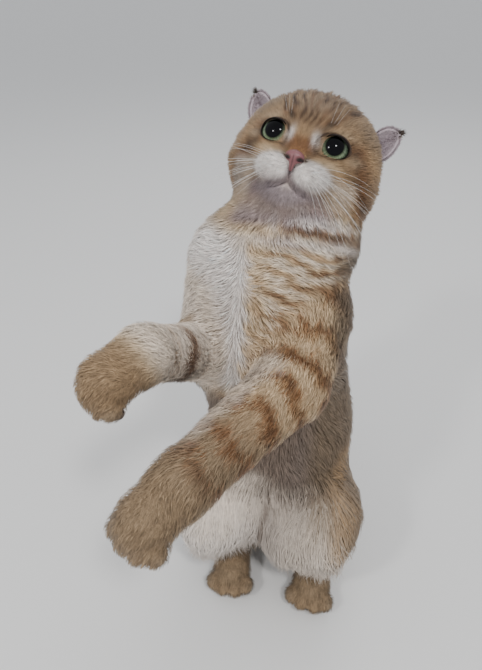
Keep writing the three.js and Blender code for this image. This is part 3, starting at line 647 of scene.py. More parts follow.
# Which way the hair lies, from the nose over the head, down the body and along each limb
def lieOf(p, normal, regions):
    h = toHead(p)
    away = h - np.array([0, -52, -9])
    away[:, 2] += 0.25 * np.abs(h[:, 0]) * (h[:, 2] < 0)
    flow = unit(away @ headAxes.T) * (2.5 * regions["head"])[:, None]
    x = p[:, 0]
    breast = smooth(184, 214, p[:, 2]) * smooth(330, 296, p[:, 2]) * smooth(34, 6, p[:, 1])
    aside = 0.22 * np.tanh(x / 25) * (1 - breast) + 1.4 * np.tanh((x + 30) / 16) * breast
    down = np.stack([aside, np.full(len(p), 0.08), -1 + 0.6 * breast], 1)
    flow += unit(down) * (regions["trunk"] + regions["thighLeft"] + regions["thighRight"])[:, None]
    for name, limb in limbs.items():
        points = limbPoints(name)
        weight = np.zeros(len(p))
        way = np.zeros((len(p), 3))
        for a, b in zip(points, points[1:]):
            close = 1 / (1 + (taper(p, a, 0, b, 0) / 20) ** 4)
            way += unit(b - a) * close[:, None]
            weight += close
        way = way / weight[:, None]
        # The swirl turns hair that would point at the viewer round the limb instead
        swirl = limb.get("swirl", 0) * smooth(-0.4, 0.3, normal[:, 2])
        way = way + np.cross(way, normal) * swirl[:, None]
        flow += way * (1.6 * regions[name])[:, None]
    for name, paw in paws.items():
        overToes = unit(np.array(paw["forward"]) - 0.35 * np.array(paw["back"]))
        flow += overToes * (1.6 * regions[name])[:, None]
    flow += 0.3 * np.stack([noise(p, 42, seed) for seed in (7, 8, 9)], 1)
    flow -= normal * (flow * normal).sum(1, keepdims=True)
    return unit(flow)


def addNode(tree, kind, inputs=(), **settings):
    # A node with its settings, then the constants of its inputs
    node = tree.nodes.new("ShaderNode" + kind)
    for key, value in settings.items():
        setattr(node, key, value)
    for key, value in dict(inputs).items():
        node.inputs[key].default_value = value
    return node


def connect(tree, *rows):
    for source, output, target, socket in rows:
        tree.links.new(source.outputs[output], target.inputs[socket])


def addRamp(tree, steps):
    ramp = addNode(tree, "ValToRGB")
    elements = ramp.color_ramp.elements
    while len(elements) < len(steps):
        elements.new(0.5)
    for element, (place, tone) in zip(elements, steps):
        element.position = place
        element.color = (*tone, 1)
    return ramp


def makeMaterial(name, constants):
    material = bpy.data.materials.new(name)
    material.use_nodes = True
    shader = material.node_tree.nodes["Principled BSDF"]
    for key, value in constants.items():
        shader.inputs[key].default_value = value
    return material, material.node_tree, shader


# Shared effect: a soft change of tone over the surface, put out as a colour and a height
def hairToneGroup():
    group = bpy.data.node_groups.new("hairTone", "ShaderNodeTree")
    sockets = [
        ("Colour", "INPUT", "Color"), ("Grain", "INPUT", "Float"), ("Strength", "INPUT", "Float"),
        ("Colour", "OUTPUT", "Color"), ("Height", "OUTPUT", "Float"),
    ]
    for name, way, kind in sockets:
        group.interface.new_socket(name, in_out=way, socket_type="NodeSocket" + kind)
    inside = group.nodes.new("NodeGroupInput")
    outside = group.nodes.new("NodeGroupOutput")
    place = addNode(group, "TexCoord")
    grain = addNode(group, "TexNoise", {"Detail": 3})
    tone = addNode(group, "MapRange", {"From Min": 0.3, "From Max": 0.7, "To Min": -1})
    amount = addNode(group, "Math", operation="MULTIPLY")
    gain = addNode(group, "Math", {1: 1}, operation="ADD")
    tint = addNode(group, "VectorMath", operation="SCALE")
    connect(
        group,
        (place, "Object", grain, "Vector"), (inside, "Grain", grain, "Scale"), (grain, "Fac", tone, "Value"),
        (tone, "Result", amount, 0), (inside, "Strength", amount, 1), (amount, 0, gain, 0),
        (inside, "Colour", tint, 0), (gain, 0, tint, "Scale"),
        (tint, "Vector", outside, "Colour"), (grain, "Fac", outside, "Height"),
    )
    return group


hairTone = hairToneGroup()

# The grain's scale and strength, the depth of its relief in metres, and the shader's own values
coatLooks = {
    "skinFur": {"grain": (900, 0.2), "depth": 0.0006, "roughness": 0.85, "sheen": 0.1, "shine": 0.25},
    "softFur": {"grain": (260, 0.1), "depth": 0, "roughness": 0.7, "sheen": 0.15, "shine": 0.25},
    "longFur": {"grain": (200, 0.08), "depth": 0, "roughness": 0.65, "sheen": 0.2, "shine": 0.25},
    "noseLeather": {"grain": (2600, 0.12), "depth": 0.00012, "roughness": 0.4, "sheen": 0, "shine": 0.5},
    "earSkin": {"grain": (700, 0.18), "depth": 0.0002, "roughness": 0.6, "sheen": 0.2, "shine": 0.25},
}


def coatMaterial(name):
    looks = coatLooks[name]
    material, tree, shader = makeMaterial(name, {
        "Roughness": looks["roughness"], "Specular IOR Level": looks["shine"],
        "Sheen Weight": looks["sheen"], "Sheen Roughness": 0.5,
    })
    painted = addNode(tree, "Attribute", attribute_name="coatColour")
    grain, strength = looks["grain"]
    tone = addNode(tree, "Group", {"Grain": grain, "Strength": strength}, node_tree=hairTone)
    connect(tree, (painted, "Color", tone, "Colour"), (tone, "Colour", shader, "Base Color"))
    if looks["depth"]:
        relief = addNode(tree, "Bump", {"Distance": looks["depth"], "Strength": 0.8})
        connect(tree, (tone, "Height", relief, "Height"), (relief, "Normal", shader, "Normal"))
    return material


skinFur, softFur, longFur = (coatMaterial(name) for name in ("skinFur", "softFur", "longFur"))


def paint(mesh, colours):
    layer = mesh.color_attributes.new("coatColour", "FLOAT_COLOR", "POINT")
    rgba = np.concatenate([colours, np.ones((len(colours), 1))], 1)
    layer.data.foreach_set("color", rgba.astype(np.float32).ravel())


def vectorsOf(mesh, key):
    # The points ("co") or the normals ("normal") of a mesh
    values = np.empty(3 * len(mesh.vertices), np.float32)
    mesh.vertices.foreach_get(key, values)
    return values.reshape(-1, 3).astype(float)


def pointsOf(mesh):
    return inMillimetres(vectorsOf(mesh, "co"))


def setPoints(mesh, p):
    mesh.vertices.foreach_set("co", inMetres(p).astype(np.float32).ravel())
    mesh.update()


def onlySelect(piece):
    bpy.ops.object.select_all(action="DESELECT")
    piece.select_set(True)
    bpy.context.view_layer.objects.active = piece


def shadeSmooth(piece):
    onlySelect(piece)
    bpy.ops.object.shade_smooth()


def faceOutwards(piece):
    onlySelect(piece)
    bpy.ops.object.mode_set(mode="EDIT")
    bpy.ops.mesh.select_all(action="SELECT")
    bpy.ops.mesh.normals_make_consistent(inside=False)
    bpy.ops.object.mode_set(mode="OBJECT")


def addBall(centre, radii, turn=(0, 0, 0)):
    bpy.ops.mesh.primitive_uv_sphere_add(
        segments=24, ring_count=16, radius=1, location=inMetres(centre), rotation=turn,
        scale=[r * 0.001 for r in radii],
    )
    return bpy.context.object


def addTaper(a, ra, b, rb):
    # A row of balls, near enough to each other to give a smooth length of limb
    a, b = np.array(a, float), np.array(b, float)
    count = max(2, math.ceil(np.linalg.norm(b - a) / (0.4 * min(ra, rb))))
    shares = [k / count for k in range(count + 1)]
    return [addBall(a + t * (b - a), (ra + t * (rb - ra),) * 3) for t in shares]


def joinRemeshed(made, name, voxel):
    bpy.ops.object.select_all(action="DESELECT")
    for piece in made:
        piece.select_set(True)
    bpy.context.view_layer.objects.active = made[0]
    bpy.ops.object.join()
    whole = bpy.context.object
    whole.name = name
    bpy.ops.object.transform_apply(location=True, rotation=True, scale=True)
    remesh = whole.modifiers.new("wrap", "REMESH")
    remesh.mode = "VOXEL"
    remesh.voxel_size = voxel
    bpy.ops.object.modifier_apply(modifier="wrap")
    return whole


# The skin is made finer in two blocks at the front of the head: ahead of, aside to, above and below
skinValues = {
    "neck": (46, 38), "voxel": 0.0026, "sole": 0.8, "rounds": 4, "smoothing": 3, "evenness": 0.4,
    "crease": 1.4, "finer": [(-8, 46, -42, 34), (-24, 34, -32, 18)], "shade": 0.9, "islandGap": 0.0005,
}
lidFold = {"behind": 9.4, "over": 0.9, "reach": 19}


def makeSkin():
    # Round forms at the places of the joints, wrapped in one closed skin
    made = []
    for key, radii, turn in trunkBalls + kneeBalls:
        made.append(addBall(joints[key], radii, (0, 0, math.radians(turn))))
    made += addTaper(joints["neck"], skinValues["neck"][0], joints["head"], skinValues["neck"][1])
    for centre, radii in skullBalls + [noseFill] + muzzleBalls:
        made.append(addBall(fromHead(centre), radii, headTurn))
    for name in limbs:
        for part in limbParts(name):
            made += addTaper(*part)
    for paw in paws.values():
        middle, knuckles, toes, forward, back, across = pawParts(paw)
        made += addTaper(middle, paw["radii"][0], knuckles, paw["radii"][1])
        made += [addBall(t, (toe["radius"],) * 3) for t in toes]
    skin = joinRemeshed(made, "skin", skinValues["voxel"])
    shapeSkin(skin, skinValues["rounds"])
    for block in skinValues["finer"]:
        refineHead(skin, *block)
        shapeSkin(skin, 2)
    openEyes(skin)
    return skin


def shapeSkin(skin, rounds):
    # The skin drawn in under the coat, then evened
    p = pointsOf(skin.data)
    crease = skinValues["crease"] * bump(mouthDistance(toHead(p)), 0, 1.3)
    p = settle(catField, p, -depthOf(p, regionsOf(p)) - crease, 3, rounds)
    p[:, 2] = np.maximum(p[:, 2], skinValues["sole"])
    setPoints(skin.data, p)
    onlySelect(skin)
    even = skin.modifiers.new("even", "SMOOTH")
    even.iterations = skinValues["smoothing"]
    even.factor = skinValues["evenness"]
    bpy.ops.object.modifier_apply(modifier="even")


def refineHead(skin, ahead, aside, above, below):
    mesh = skin.data
    h = toHead(pointsOf(mesh))
    pick = (h[:, 1] < ahead) & (np.abs(h[:, 0]) < aside) & (h[:, 2] > above) & (h[:, 2] < below)
    mesh.vertices.foreach_set("select", np.zeros(len(mesh.vertices), bool))
    mesh.edges.foreach_set("select", np.zeros(len(mesh.edges), bool))
    starts = np.empty(len(mesh.polygons), np.int32)
    mesh.polygons.foreach_get("loop_start", starts)
    corners = np.empty(len(mesh.loops), np.int32)
    mesh.loops.foreach_get("vertex_index", corners)
    mesh.polygons.foreach_set("select", np.logical_and.reduceat(pick[corners], starts))
    onlySelect(skin)
    bpy.context.tool_settings.mesh_select_mode = (False, False, True)
    bpy.ops.object.mode_set(mode="EDIT")
    bpy.ops.mesh.subdivide(number_cuts=1)
    bpy.ops.object.mode_set(mode="OBJECT")


def openEyes(skin):
    # The skin dips behind each eyeball within the opening and stands over it as lids outside
    h = toHead(pointsOf(skin.data))
    lid = eyeSize["radius"] + lidFold["over"]
    for side in (1, -1):
        e = toEye(h, side)
        r = np.linalg.norm(e, axis=1)
        ahead = (e[:, 1] < 2) & (r < lidFold["reach"])
        share = openingShare(e, side)
        target = r + (lidFold["behind"] - r) * smooth(1.1, 0.98, share) * ahead
        over = smooth(1, 1.1, share) * smooth(1.75, 1.3, share) * ahead
        target = target + np.maximum(lid - target, 0) * over
        e = e * (target / np.maximum(r, 1e-6))[:, None]
        h = np.where(ahead[:, None], fromEye(e, side), h)
    setPoints(skin.data, fromHead(h))


def dressSkin(skin):
    skin.data.materials.clear()
    skin.data.materials.append(skinFur)
    shadeSmooth(skin)
    bpy.ops.object.mode_set(mode="EDIT")
    bpy.ops.mesh.select_all(action="SELECT")
    bpy.ops.uv.smart_project(angle_limit=math.radians(66), island_margin=skinValues["islandGap"])
    bpy.ops.object.mode_set(mode="OBJECT")
    paint(skin.data, markings(skinPoints) * skinValues["shade"])


print("skin")
skin = makeSkin()
skinPoints = pointsOf(skin.data)
dressSkin(skin)

# Tufts of the short coat: full ones where it is deep, fine ones mostly where it is thin. Each kind
# has its widths and tones from root to tip.
hairValues = {
    "width": 0.37, "yaw": 0.15, "sink": 0.6, "thinTo": 2, "deepFrom": 3.2, "floor": 0.4, "flatness": 0.5,
    "longer": 1.5, "uneven": 0.5, "least": 1.9, "rise": 0.86, "riseSpread": 0.13, "softNormal": 0.75,
    "mapPatch": 0.0015, "tint": 0.07, "ticked": 0.1, "tickedPaw": 0.14, "darkest": 0.002, "palest": 0.98,
    "fineAmong": 0.35, "fineAlone": 1.15,
}
hairKinds = {
    "full": {
        "count": 72000, "word": "", "mostInPiece": 19000, "widths": (0.8, 1, 1), "tones": (0.84, 0.99, 1.05),
        "streak": 5,
    },
    "fine": {
        "count": 106000, "word": "Fine", "mostInPiece": 48000, "widths": (1.05, 1), "tones": (0.8, 1.08),
        "streak": 3.4,
    },
}
coatPieces = {
    "coatBody": ("coat_cream", ["trunk"]),
    "coatFeet": ("coat_tan", ["hindLeft", "hindRight", "hindfoot_left", "hindfoot_right"]),
    "coatForelegs": ("coat_tan", ["foreLeft", "foreRight", "forepaw_left", "forepaw_right"]),
    "coatHead": ("coat_golden", ["head"]),
    "coatTail": ("coat_umber", ["tail"]),
    "coatThighs": ("coat_white", ["thighLeft", "thighRight"]),
}


def triangleValues(mesh, key):
    values = np.empty(3 * len(mesh.loop_triangles), np.int32)
    mesh.loop_triangles.foreach_get(key, values)
    return values.reshape(-1, 3)


def drawRoots(count, density):
    # Roots drawn over the skin by a density, each with its place on the skin's map
    mesh = skin.data
    mesh.calc_loop_triangles()
    tri, corner = triangleValues(mesh, "vertices"), triangleValues(mesh, "loops")
    uv = np.empty(2 * len(mesh.loops), np.float32)
    mesh.uv_layers.active.data.foreach_get("uv", uv)
    uv = uv.reshape(-1, 2)
    a, b, c = (skinPoints[tri[:, k]] for k in range(3))
    area = np.linalg.norm(np.cross(b - a, c - a), axis=1) / 2
    chance = np.cumsum(area * density((a + b + c) / 3))
    pick = np.searchsorted(chance / chance[-1], rng.random(count))
    s, t = rng.random(count), rng.random(count)
    flip = s + t > 1
    s, t = np.where(flip, 1 - s, s), np.where(flip, 1 - t, t)
    weights = np.stack([1 - s - t, s, t], 1)
    place = sum(skinPoints[tri[pick, k]] * weights[:, k, None] for k in range(3))
    bakePlace = sum(uv[corner[pick, k]] * weights[:, k, None] for k in range(3))
    return place, bakePlace


def densityOf(p):
    # Denser towards the nose, and bare in the eyes, on the nose leather, in the mouth and underfoot
    h = toHead(p)
    toNose = np.linalg.norm(h - noseAt, axis=1)
    dense = 1 + 1.5 * smooth(95, 40, toNose) + 0.8 * smooth(40, 20, toNose)
    for side in (1, -1):
        e = toEye(h, side)
        dense = dense * ~((openingShare(e, side) < 1.12) & (e[:, 1] < 1) & (np.linalg.norm(e, axis=1) < 16))
    leather = np.linalg.norm((h - np.array([0, -50, -9.8])) / (6.6, 6, 5), axis=1) < 1
    dense = dense * ~leather * (mouthDistance(h) > 0.9)
    return dense * (p[:, 2] > 1.6)


def fullDensity(p):
    return densityOf(p) * smooth(hairValues["thinTo"], hairValues["deepFrom"], depthOf(p, regionsOf(p)))


def fineDensity(p):
    thin = smooth(hairValues["deepFrom"], hairValues["thinTo"], depthOf(p, regionsOf(p)))
    return densityOf(p) * (hairValues["fineAmong"] + hairValues["fineAlone"] * thin)


def ringed(values, axis=0):
    # Values of the stations repeated for the points of a hair: three to a ring, one at the tip
    values = np.asarray(values)
    return np.repeat(values, [3] * (values.shape[axis] - 1) + [1], axis)


def hairPoints(stations, normal, halfWidths, flatness):
    # A three-sided ring round each station but the last, which is the tip
    along = unit(np.gradient(stations, axis=1))
    across = unit(np.cross(along, normal[:, None, :]))
    facing = np.cross(across, along)
    rings = []
    for k in range(stations.shape[1] - 1):
        for angle in np.radians([90, 210, 330]):
            aside = across[:, k] * (math.cos(angle) * halfWidths[:, k])[:, None]
            ahead = facing[:, k] * (math.sin(angle) * (halfWidths[:, k] * flatness))[:, None]
            rings.append(stations[:, k] + (aside + ahead))
    return np.stack(rings + [stations[:, -1]], 1)


def hairFaces(per):
    # The triangles of one closed hair of so many points
    faces = [(0, 1, 2)]
    for start in range(0, per - 1, 3):
        for m in range(3):
            a, b = start + m, start + (m + 1) % 3
            if start + 4 == per:
                faces.append((a, per - 1, b))
            else:
                faces += [(a, a + 3, b), (b, a + 3, b + 3)]
    return np.array(faces)


def hairPiece(name, material, points, colours, bakePlace, normals=None):
    # One mesh of many hairs, made at once from arrays. Each hair's map is a small patch round its
    # root's place, and normals that lean to the skin's own make the coat soft.
    n, per = points.shape[:2]
    faces = (hairFaces(per) + (np.arange(n) * per)[:, None, None]).reshape(-1, 3)
    mesh = bpy.data.meshes.new(name)
    mesh.vertices.add(n * per)
    mesh.vertices.foreach_set("co", inMetres(points).astype(np.float32).ravel())
    mesh.loops.add(faces.size)
    mesh.loops.foreach_set("vertex_index", faces.astype(np.int32).ravel())
    mesh.polygons.add(len(faces))
    mesh.polygons.foreach_set("loop_start", np.arange(0, faces.size, 3, dtype=np.int32))
    mesh.polygons.foreach_set("use_smooth", np.ones(len(faces), bool))
    mesh.update(calc_edges=True)
    paint(mesh, colours.reshape(-1, 3))
    turn = 2 * math.pi * np.arange(per) / per
    patch = hairValues["mapPatch"] * np.stack([np.cos(turn), np.sin(turn)], 1)
    corners = np.clip(bakePlace[:, None, :] + patch, 0, 1).reshape(-1, 2)
    bakeMap = mesh.uv_layers.new(name="OFBake")
    bakeMap.data.foreach_set("uv", corners[faces.ravel()].astype(np.float32).ravel())
    if normals is not None:
        soft = hairValues["softNormal"]
        mixed = soft * np.repeat(normals, per, axis=0) + (1 - soft) * vectorsOf(mesh, "normal")
        mesh.normals_split_custom_set_from_vertices(unit(mixed))
    mesh.materials.append(material)
    piece = bpy.data.objects.new(name, mesh)
    bpy.context.scene.collection.objects.link(piece)
    return piece


def liftOf(p, regions, count):
    # How far up through the coat the tips stand: in ripples on the chest, ruffled on the crown
    h = toHead(p)
    lift = hairValues["rise"] + hairValues["riseSpread"] * rng.normal(size=count) + 0.12 * noise(p, 7, 11)
    chest = smooth(-19, -3, p[:, 0]) * smooth(30, 10, p[:, 1]) * smooth(186, 204, p[:, 2])
    rippled = regions["trunk"] * chest
    ruffled = regions["head"] * np.maximum(smooth(24, 38, h[:, 2]), smooth(38, 50, np.abs(h[:, 0])))
    lift = lift + 0.24 * rippled * rippleOf(p) + ruffled * (0.08 + 0.16 * noise(p, 4, 12))
    return np.clip(lift, 0.35, 1.2 + 0.5 * ruffled)


def growShortCoat(kind, density):
    count = kind["count"]
    p, bakePlace = drawRoots(count, density)
    regions = regionsOf(p)
    deep = depthOf(p, regions)
    normal = unit(slopeOf(catField, p)[1])
    lie = lieOf(p, normal, regions)
    turn = hairValues["yaw"] * rng.normal(size=count)
    lie = unit(lie * np.cos(turn)[:, None] + np.cross(normal, lie) * np.sin(turn)[:, None])
    onPaw = sum(regions[name] for name in paws)
    length = deep * (hairValues["longer"] + hairValues["uneven"] * rng.random(count)) + hairValues["least"]
    length = length * (1 - 0.5 * onPaw)
    lift = liftOf(p, regions, count)
    root = p - normal * hairValues["sink"]
    middle = p + lie * (0.42 * length)[:, None] + normal * (0.7 * deep * lift)[:, None]
    tip = settle(catField, middle + lie * (0.55 * length)[:, None], -deep * (1 - lift), 4, 1)
    upper = [tip]
    if len(kind["widths"]) == 3:
        upper = [settle(catField, middle, -deep * (1 - 0.72 * lift), 4, 1), tip]
    stations = np.stack([root] + upper, 1)
    stations[:, 1:, 2] = np.maximum(stations[:, 1:, 2], hairValues["floor"])
    thin = np.clip(0.42 + deep / 9, 0.45, 1.15)
    wide = hairValues["width"] * thin * (0.8 + 0.4 * rng.random(count))
    points = hairPoints(stations, normal, wide[:, None] * np.array(kind["widths"]), hairValues["flatness"])
    marks = ringed(np.stack([markings(q) for q in [p + normal * deep[:, None]] + upper], 1), 1)
    streak = 0.1 * noise(p, kind["streak"], 15) + 0.08 * noise(p, 0.5 * kind["streak"], 16)
    tint = 1 + streak + hairValues["tint"] * rng.normal(size=count)
    ticked = rng.random(count) < hairValues["ticked"] + hairValues["tickedPaw"] * onPaw
    tint = tint * np.where(ticked, 0.76 - 0.22 * onPaw, 1)
    colours = marks * tint[:, None, None] * ringed(kind["tones"])[:, None]
    colours = np.clip(colours, hairValues["darkest"], hairValues["palest"])
    names = list(regions)
    strongest = np.array(names)[np.argmax(np.stack([regions[name] for name in names], 1), 1)]
    for name, (slot, members) in coatPieces.items():
        chosen = np.nonzero(np.isin(strongest, members))[0]
        chosen = chosen[np.argsort(p[chosen, 2] + 0.5 * p[chosen, 1])]
        lots = math.ceil(len(chosen) / kind["mostInPiece"])
        for lot, part in enumerate(np.array_split(chosen, lots)):
            title = name + kind["word"] + (str(lot + 1) if lots > 1 else "")
            piece = hairPiece(title, softFur, points[part], colours[part], bakePlace[part], normal[part])
            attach(piece, "root")


print("short coat")
growShortCoat(hairKinds["full"], fullDensity)
growShortCoat(hairKinds["fine"], fineDensity)

# Long hair over the thighs and belly: it hangs from its roots, lies over the form and parts into locks
fringe = {
    "count": 14000, "stations": 5, "low": 36, "high": 128, "front": 14, "over": (0.4, 6.5), "locks": 5.5,
    "gather": 0.4, "across": (0.96, 0.28, 0), "width": 0.5, "flatness": 0.4, "sway": 1.5, "tipOverFoot": 35,
    "tipBetween": 24, "outerTip": 20, "shortest": 14, "longest": 50, "sink": 2, "floor": 1,
    "fade": (0, 0.3, 0.75, 1, 1), "tones": (0.84, 1.06, 1.08), "tint": 0.06,
}


def hang(p, way, over, length):
    # Lines from the roots p down over the form, rising to their own height above it
    stations = fringe["stations"]
    step = length / (stations - 1) / 2
    out = unit(slopeOf(catField, p)[1])
    line = [p - fringe["sink"] * out]
    along = way
    for k in range(1, stations):
        for half in (0.5, 1):
            slope = unit(slopeOf(catField, p)[1])
            free = (slope[:, 2] < -0.45)[:, None]
            out = np.where(free, out, slope)
            lying = unit(way - out * (way * out).sum(1, keepdims=True))
            along = np.where(free, unit(0.8 * along + 0.2 * way), lying)
            p = p + along * step[:, None]
            height = over * min(1, (k - 1 + half) / (0.45 * stations))
            lift = np.clip(height - catField(p), -4, 4)
            p = p + np.where(free, 0, out * lift[:, None])
        line.append(p)
    line = np.stack(line, 1)
    line[:, :, 2] = np.maximum(line[:, :, 2], fringe["floor"])
    return line


def fringeDensity(p):
    regions = regionsOf(p)
    low, high, front = fringe["low"], fringe["high"], fringe["front"]
    thigh = np.clip(regions["thighLeft"] + regions["thighRight"] + regions["trunk"], 0, 1)
    inReach = smooth(low - 6, low + 6, p[:, 2]) * smooth(high + 8, high - 12, p[:, 2])
    inFront = smooth(front + 10, front - 10, p[:, 1]) * smooth(66, 48, np.abs(p[:, 0] - 2))
    return thigh * inReach * inFront


def gather(line):
    # Hairs drawn sideways towards the middle of their lock as they near their tips
    across = np.array(fringe["across"])
    s = (line[:, 0] * across).sum(1) + 1.6 * noise(line[:, 0], 14, 21)
    middle = np.round(s / fringe["locks"]) * fringe["locks"]
    t = np.linspace(0, 1, line.shape[1])
    pull = (middle - s)[:, None] * fringe["gather"] * t ** 1.4
    return line + across * pull[:, :, None]


def growFringe():
    p, bakePlace = drawRoots(fringe["count"], fringeDensity)
    n = len(p)
    side = np.where(p[:, 0] > 1, 1.0, -1.0)
    outward = smooth(40, 80, np.abs(p[:, 0] - 2))
    aside = side * (0.1 + 0.3 * outward) + 0.17 * rng.normal(size=n)
    way = unit(np.stack([aside, -0.12 * (1 - outward), -np.ones(n)], 1))
    between = np.abs(p[:, 0] - 1) < 15
    tip = np.where(between, fringe["tipBetween"], fringe["tipOverFoot"]) + fringe["outerTip"] * outward ** 2
    length = (p[:, 2] - tip) * (0.75 + 0.35 * rng.random(n))
    length = np.clip(length, fringe["shortest"], fringe["longest"])
    least, most = fringe["over"]
    over = least + (most - least) * rng.random(n) ** 1.3
    over = over * (0.15 + 0.85 * smooth(fringe["high"], fringe["high"] - 45, p[:, 2]))
    line = gather(hang(p, way, over, length))
    t = np.linspace(0, 1, fringe["stations"])
    for k in range(1, fringe["stations"]):
        line[:, k, 0] += fringe["sway"] * t[k] * noise(line[:, k], 16, 22)
    normal = unit(slopeOf(catField, line[:, 2])[1])
    wide = fringe["width"] * (0.55 + 0.75 * rng.random(n) ** 2)
    halfWidths = wide[:, None] * (0.7 + 0.6 * np.sin(np.pi * np.minimum(1, t + 0.2))) * (1 - 0.55 * t)
    points = hairPoints(line, normal, halfWidths, fringe["flatness"])
    outer = markings(settle(catField, line[:, 2], 0, 4, 2))[:, None, :]
    under = markings(line[:, 0])[:, None, :]
    marks = under + (outer - under) * ringed(fringe["fade"])[:, None]
    tint = 1 + fringe["tint"] * rng.normal(size=n)
    rootTone, upperTone, tipTone = fringe["tones"]
    tone = ringed(np.append(np.linspace(rootTone, upperTone, fringe["stations"] - 1), tipTone))
    colours = marks * tint[:, None, None] * tone[:, None]
    colours = np.clip(colours, hairValues["darkest"], hairValues["palest"])
    for name, rows in (("fringeLeft", side > 0), ("fringeRight", side < 0)):
        piece = hairPiece(name, longFur, points[rows], colours[rows], bakePlace[rows], normal[rows])
        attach(piece, "root")


print("fringe")
growFringe()

# Eyes: a wet ball with a ringed green iris round a wide pupil, and dark lids round it
eyeLooks = {
    "pupil": (5.8, 6.0), "raised": 1.3, "irisInner": colour(52, 62, 46), "iris": colour(114, 127, 106),
    # lowLight is a warm painted light over the lower part of the iris
    "irisOuter": colour(78, 94, 76), "limbus": colour(14, 16, 11), "lowLight": (1.16, 1.12, 0.92),
    "black": (0.002, 0.002, 0.003), "rim": (0.004, 0.004, 0.003), "cornea": 0.45,
}
lidSize = {"segments": 84, "thin": 0.1, "width": 1.1, "height": 0.7, "proud": 0.5, "upper": 0.7}
# Bare skin of the lids, and of the pads further down
bareLooks = {
    "lidSkin": {"tone": colour(26, 19, 15), "grain": 2200, "depth": 0.0001, "shine": 0.12},
    "padSkin": {"tone": colour(66, 52, 50), "grain": 1500, "depth": 0.0003, "shine": 0.5},
}


def eyeMaterial():
    constants = {"Roughness": 0.04, "IOR": 1.3, "Specular IOR Level": 0.35}
    material, tree, shader = makeMaterial("eyeWet", constants)
    wide, high = eyeLooks["pupil"]
    gaze = addNode(tree, "Attribute", attribute_name="gaze")
    oval = addNode(tree, "VectorMath", {1: (1 / wide, 1 / high, 0)}, operation="MULTIPLY")
    reach = addNode(tree, "VectorMath", operation="LENGTH")
    half = addNode(tree, "Math", {1: 0.5}, operation="MULTIPLY")
    rings = addRamp(tree, [
        (0, eyeLooks["black"]), (0.485, eyeLooks["black"]), (0.515, eyeLooks["irisInner"]),
        (0.62, eyeLooks["iris"]), (0.78, eyeLooks["irisOuter"]), (0.86, eyeLooks["limbus"]),
        (1, eyeLooks["rim"]),
    ])
    ray = addNode(tree, "VectorMath", operation="NORMALIZE")
    fibres = addNode(tree, "TexNoise", {"Scale": 9, "Detail": 4})
    contrast = addNode(tree, "MapRange", {"From Min": 0.3, "From Max": 0.7, "To Min": 0.62, "To Max": 1.3})
    streaks = addNode(tree, "VectorMath", operation="SCALE")
    parts = addNode(tree, "SeparateXYZ")
    # Painted light and shade on the iris: painted shade of the upper lid darkens it towards the top, and a
    # warm painted light brightens its lower part
    low = addNode(tree, "MapRange", {"From Min": 1, "From Max": -8})
    shade = addNode(tree, "MapRange", {"From Min": -4, "From Max": 5, "To Min": 1.1, "To Max": 0.12})
    shaded = addNode(tree, "VectorMath", operation="SCALE")
    glow = addNode(tree, "Mix", {"B": (*eyeLooks["lowLight"], 1)}, data_type="RGBA", blend_type="MULTIPLY")
    connect(
        tree,
        (gaze, "Vector", oval, 0), (oval, "Vector", reach, 0),
        (reach, "Value", half, 0), (half, "Value", rings, "Fac"),
        (gaze, "Vector", ray, 0), (ray, "Vector", fibres, "Vector"), (fibres, "Fac", contrast, "Value"),
        (rings, "Color", streaks, 0), (contrast, "Result", streaks, "Scale"),
        (gaze, "Vector", parts, "Vector"), (parts, "Y", low, "Value"), (parts, "Y", shade, "Value"),
        (streaks, "Vector", shaded, 0), (shade, "Result", shaded, "Scale"),
        (low, "Result", glow, "Factor"), (shaded, "Vector", glow, "A"),
        (glow, "Result", shader, "Base Color"),
    )
    return material


def bareMaterial(name):
    # Bare skin with a fine pebbled grain
    looks = bareLooks[name]
    material, tree, shader = makeMaterial(name, {"Roughness": 0.6, "Specular IOR Level": looks["shine"]})
    place = addNode(tree, "TexCoord")
    cells = addNode(tree, "TexVoronoi", {"Scale": looks["grain"]})
    ramp = addRamp(tree, [(0, looks["tone"] * 0.75), (1, looks["tone"] * 1.1)])
    relief = addNode(tree, "Bump", {"Distance": looks["depth"]})
    connect(
        tree,
        (place, "Object", cells, "Vector"), (cells, "Distance", ramp, "Fac"),
        (ramp, "Color", shader, "Base Color"),
        (cells, "Distance", relief, "Height"), (relief, "Normal", shader, "Normal"),
    )
    return material


def makeEye(side, word, material):
    # A finer ball in the place of the frame's, its poles on the gaze
    bpy.ops.mesh.primitive_uv_sphere_add(segments=72, ring_count=48, radius=eyeSize["radius"])
    globe = bpy.context.object
    globe.name = "eyeball" + word
    v = vectorsOf(globe.data, "co")
    e = np.stack([v[:, 0], -v[:, 2], v[:, 1]], 1)
    seen = np.stack([e[:, 0] * side, e[:, 2] - eyeLooks["raised"], np.zeros(len(e))], 1)
    gaze = globe.data.attributes.new("gaze", "FLOAT_VECTOR", "POINT")
    gaze.data.foreach_set("vector", seen.astype(np.float32).ravel())
    e[:, 1] -= eyeLooks["cornea"] * smooth(9.4, 6.5, np.hypot(e[:, 0], e[:, 2])) * (e[:, 1] < 0)
    setPoints(globe.data, fromHead(fromEye(e, side)))
    shadeSmooth(globe)
    globe.data.materials.append(material)
    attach(globe, "root")
    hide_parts("eye_" + word.lower())


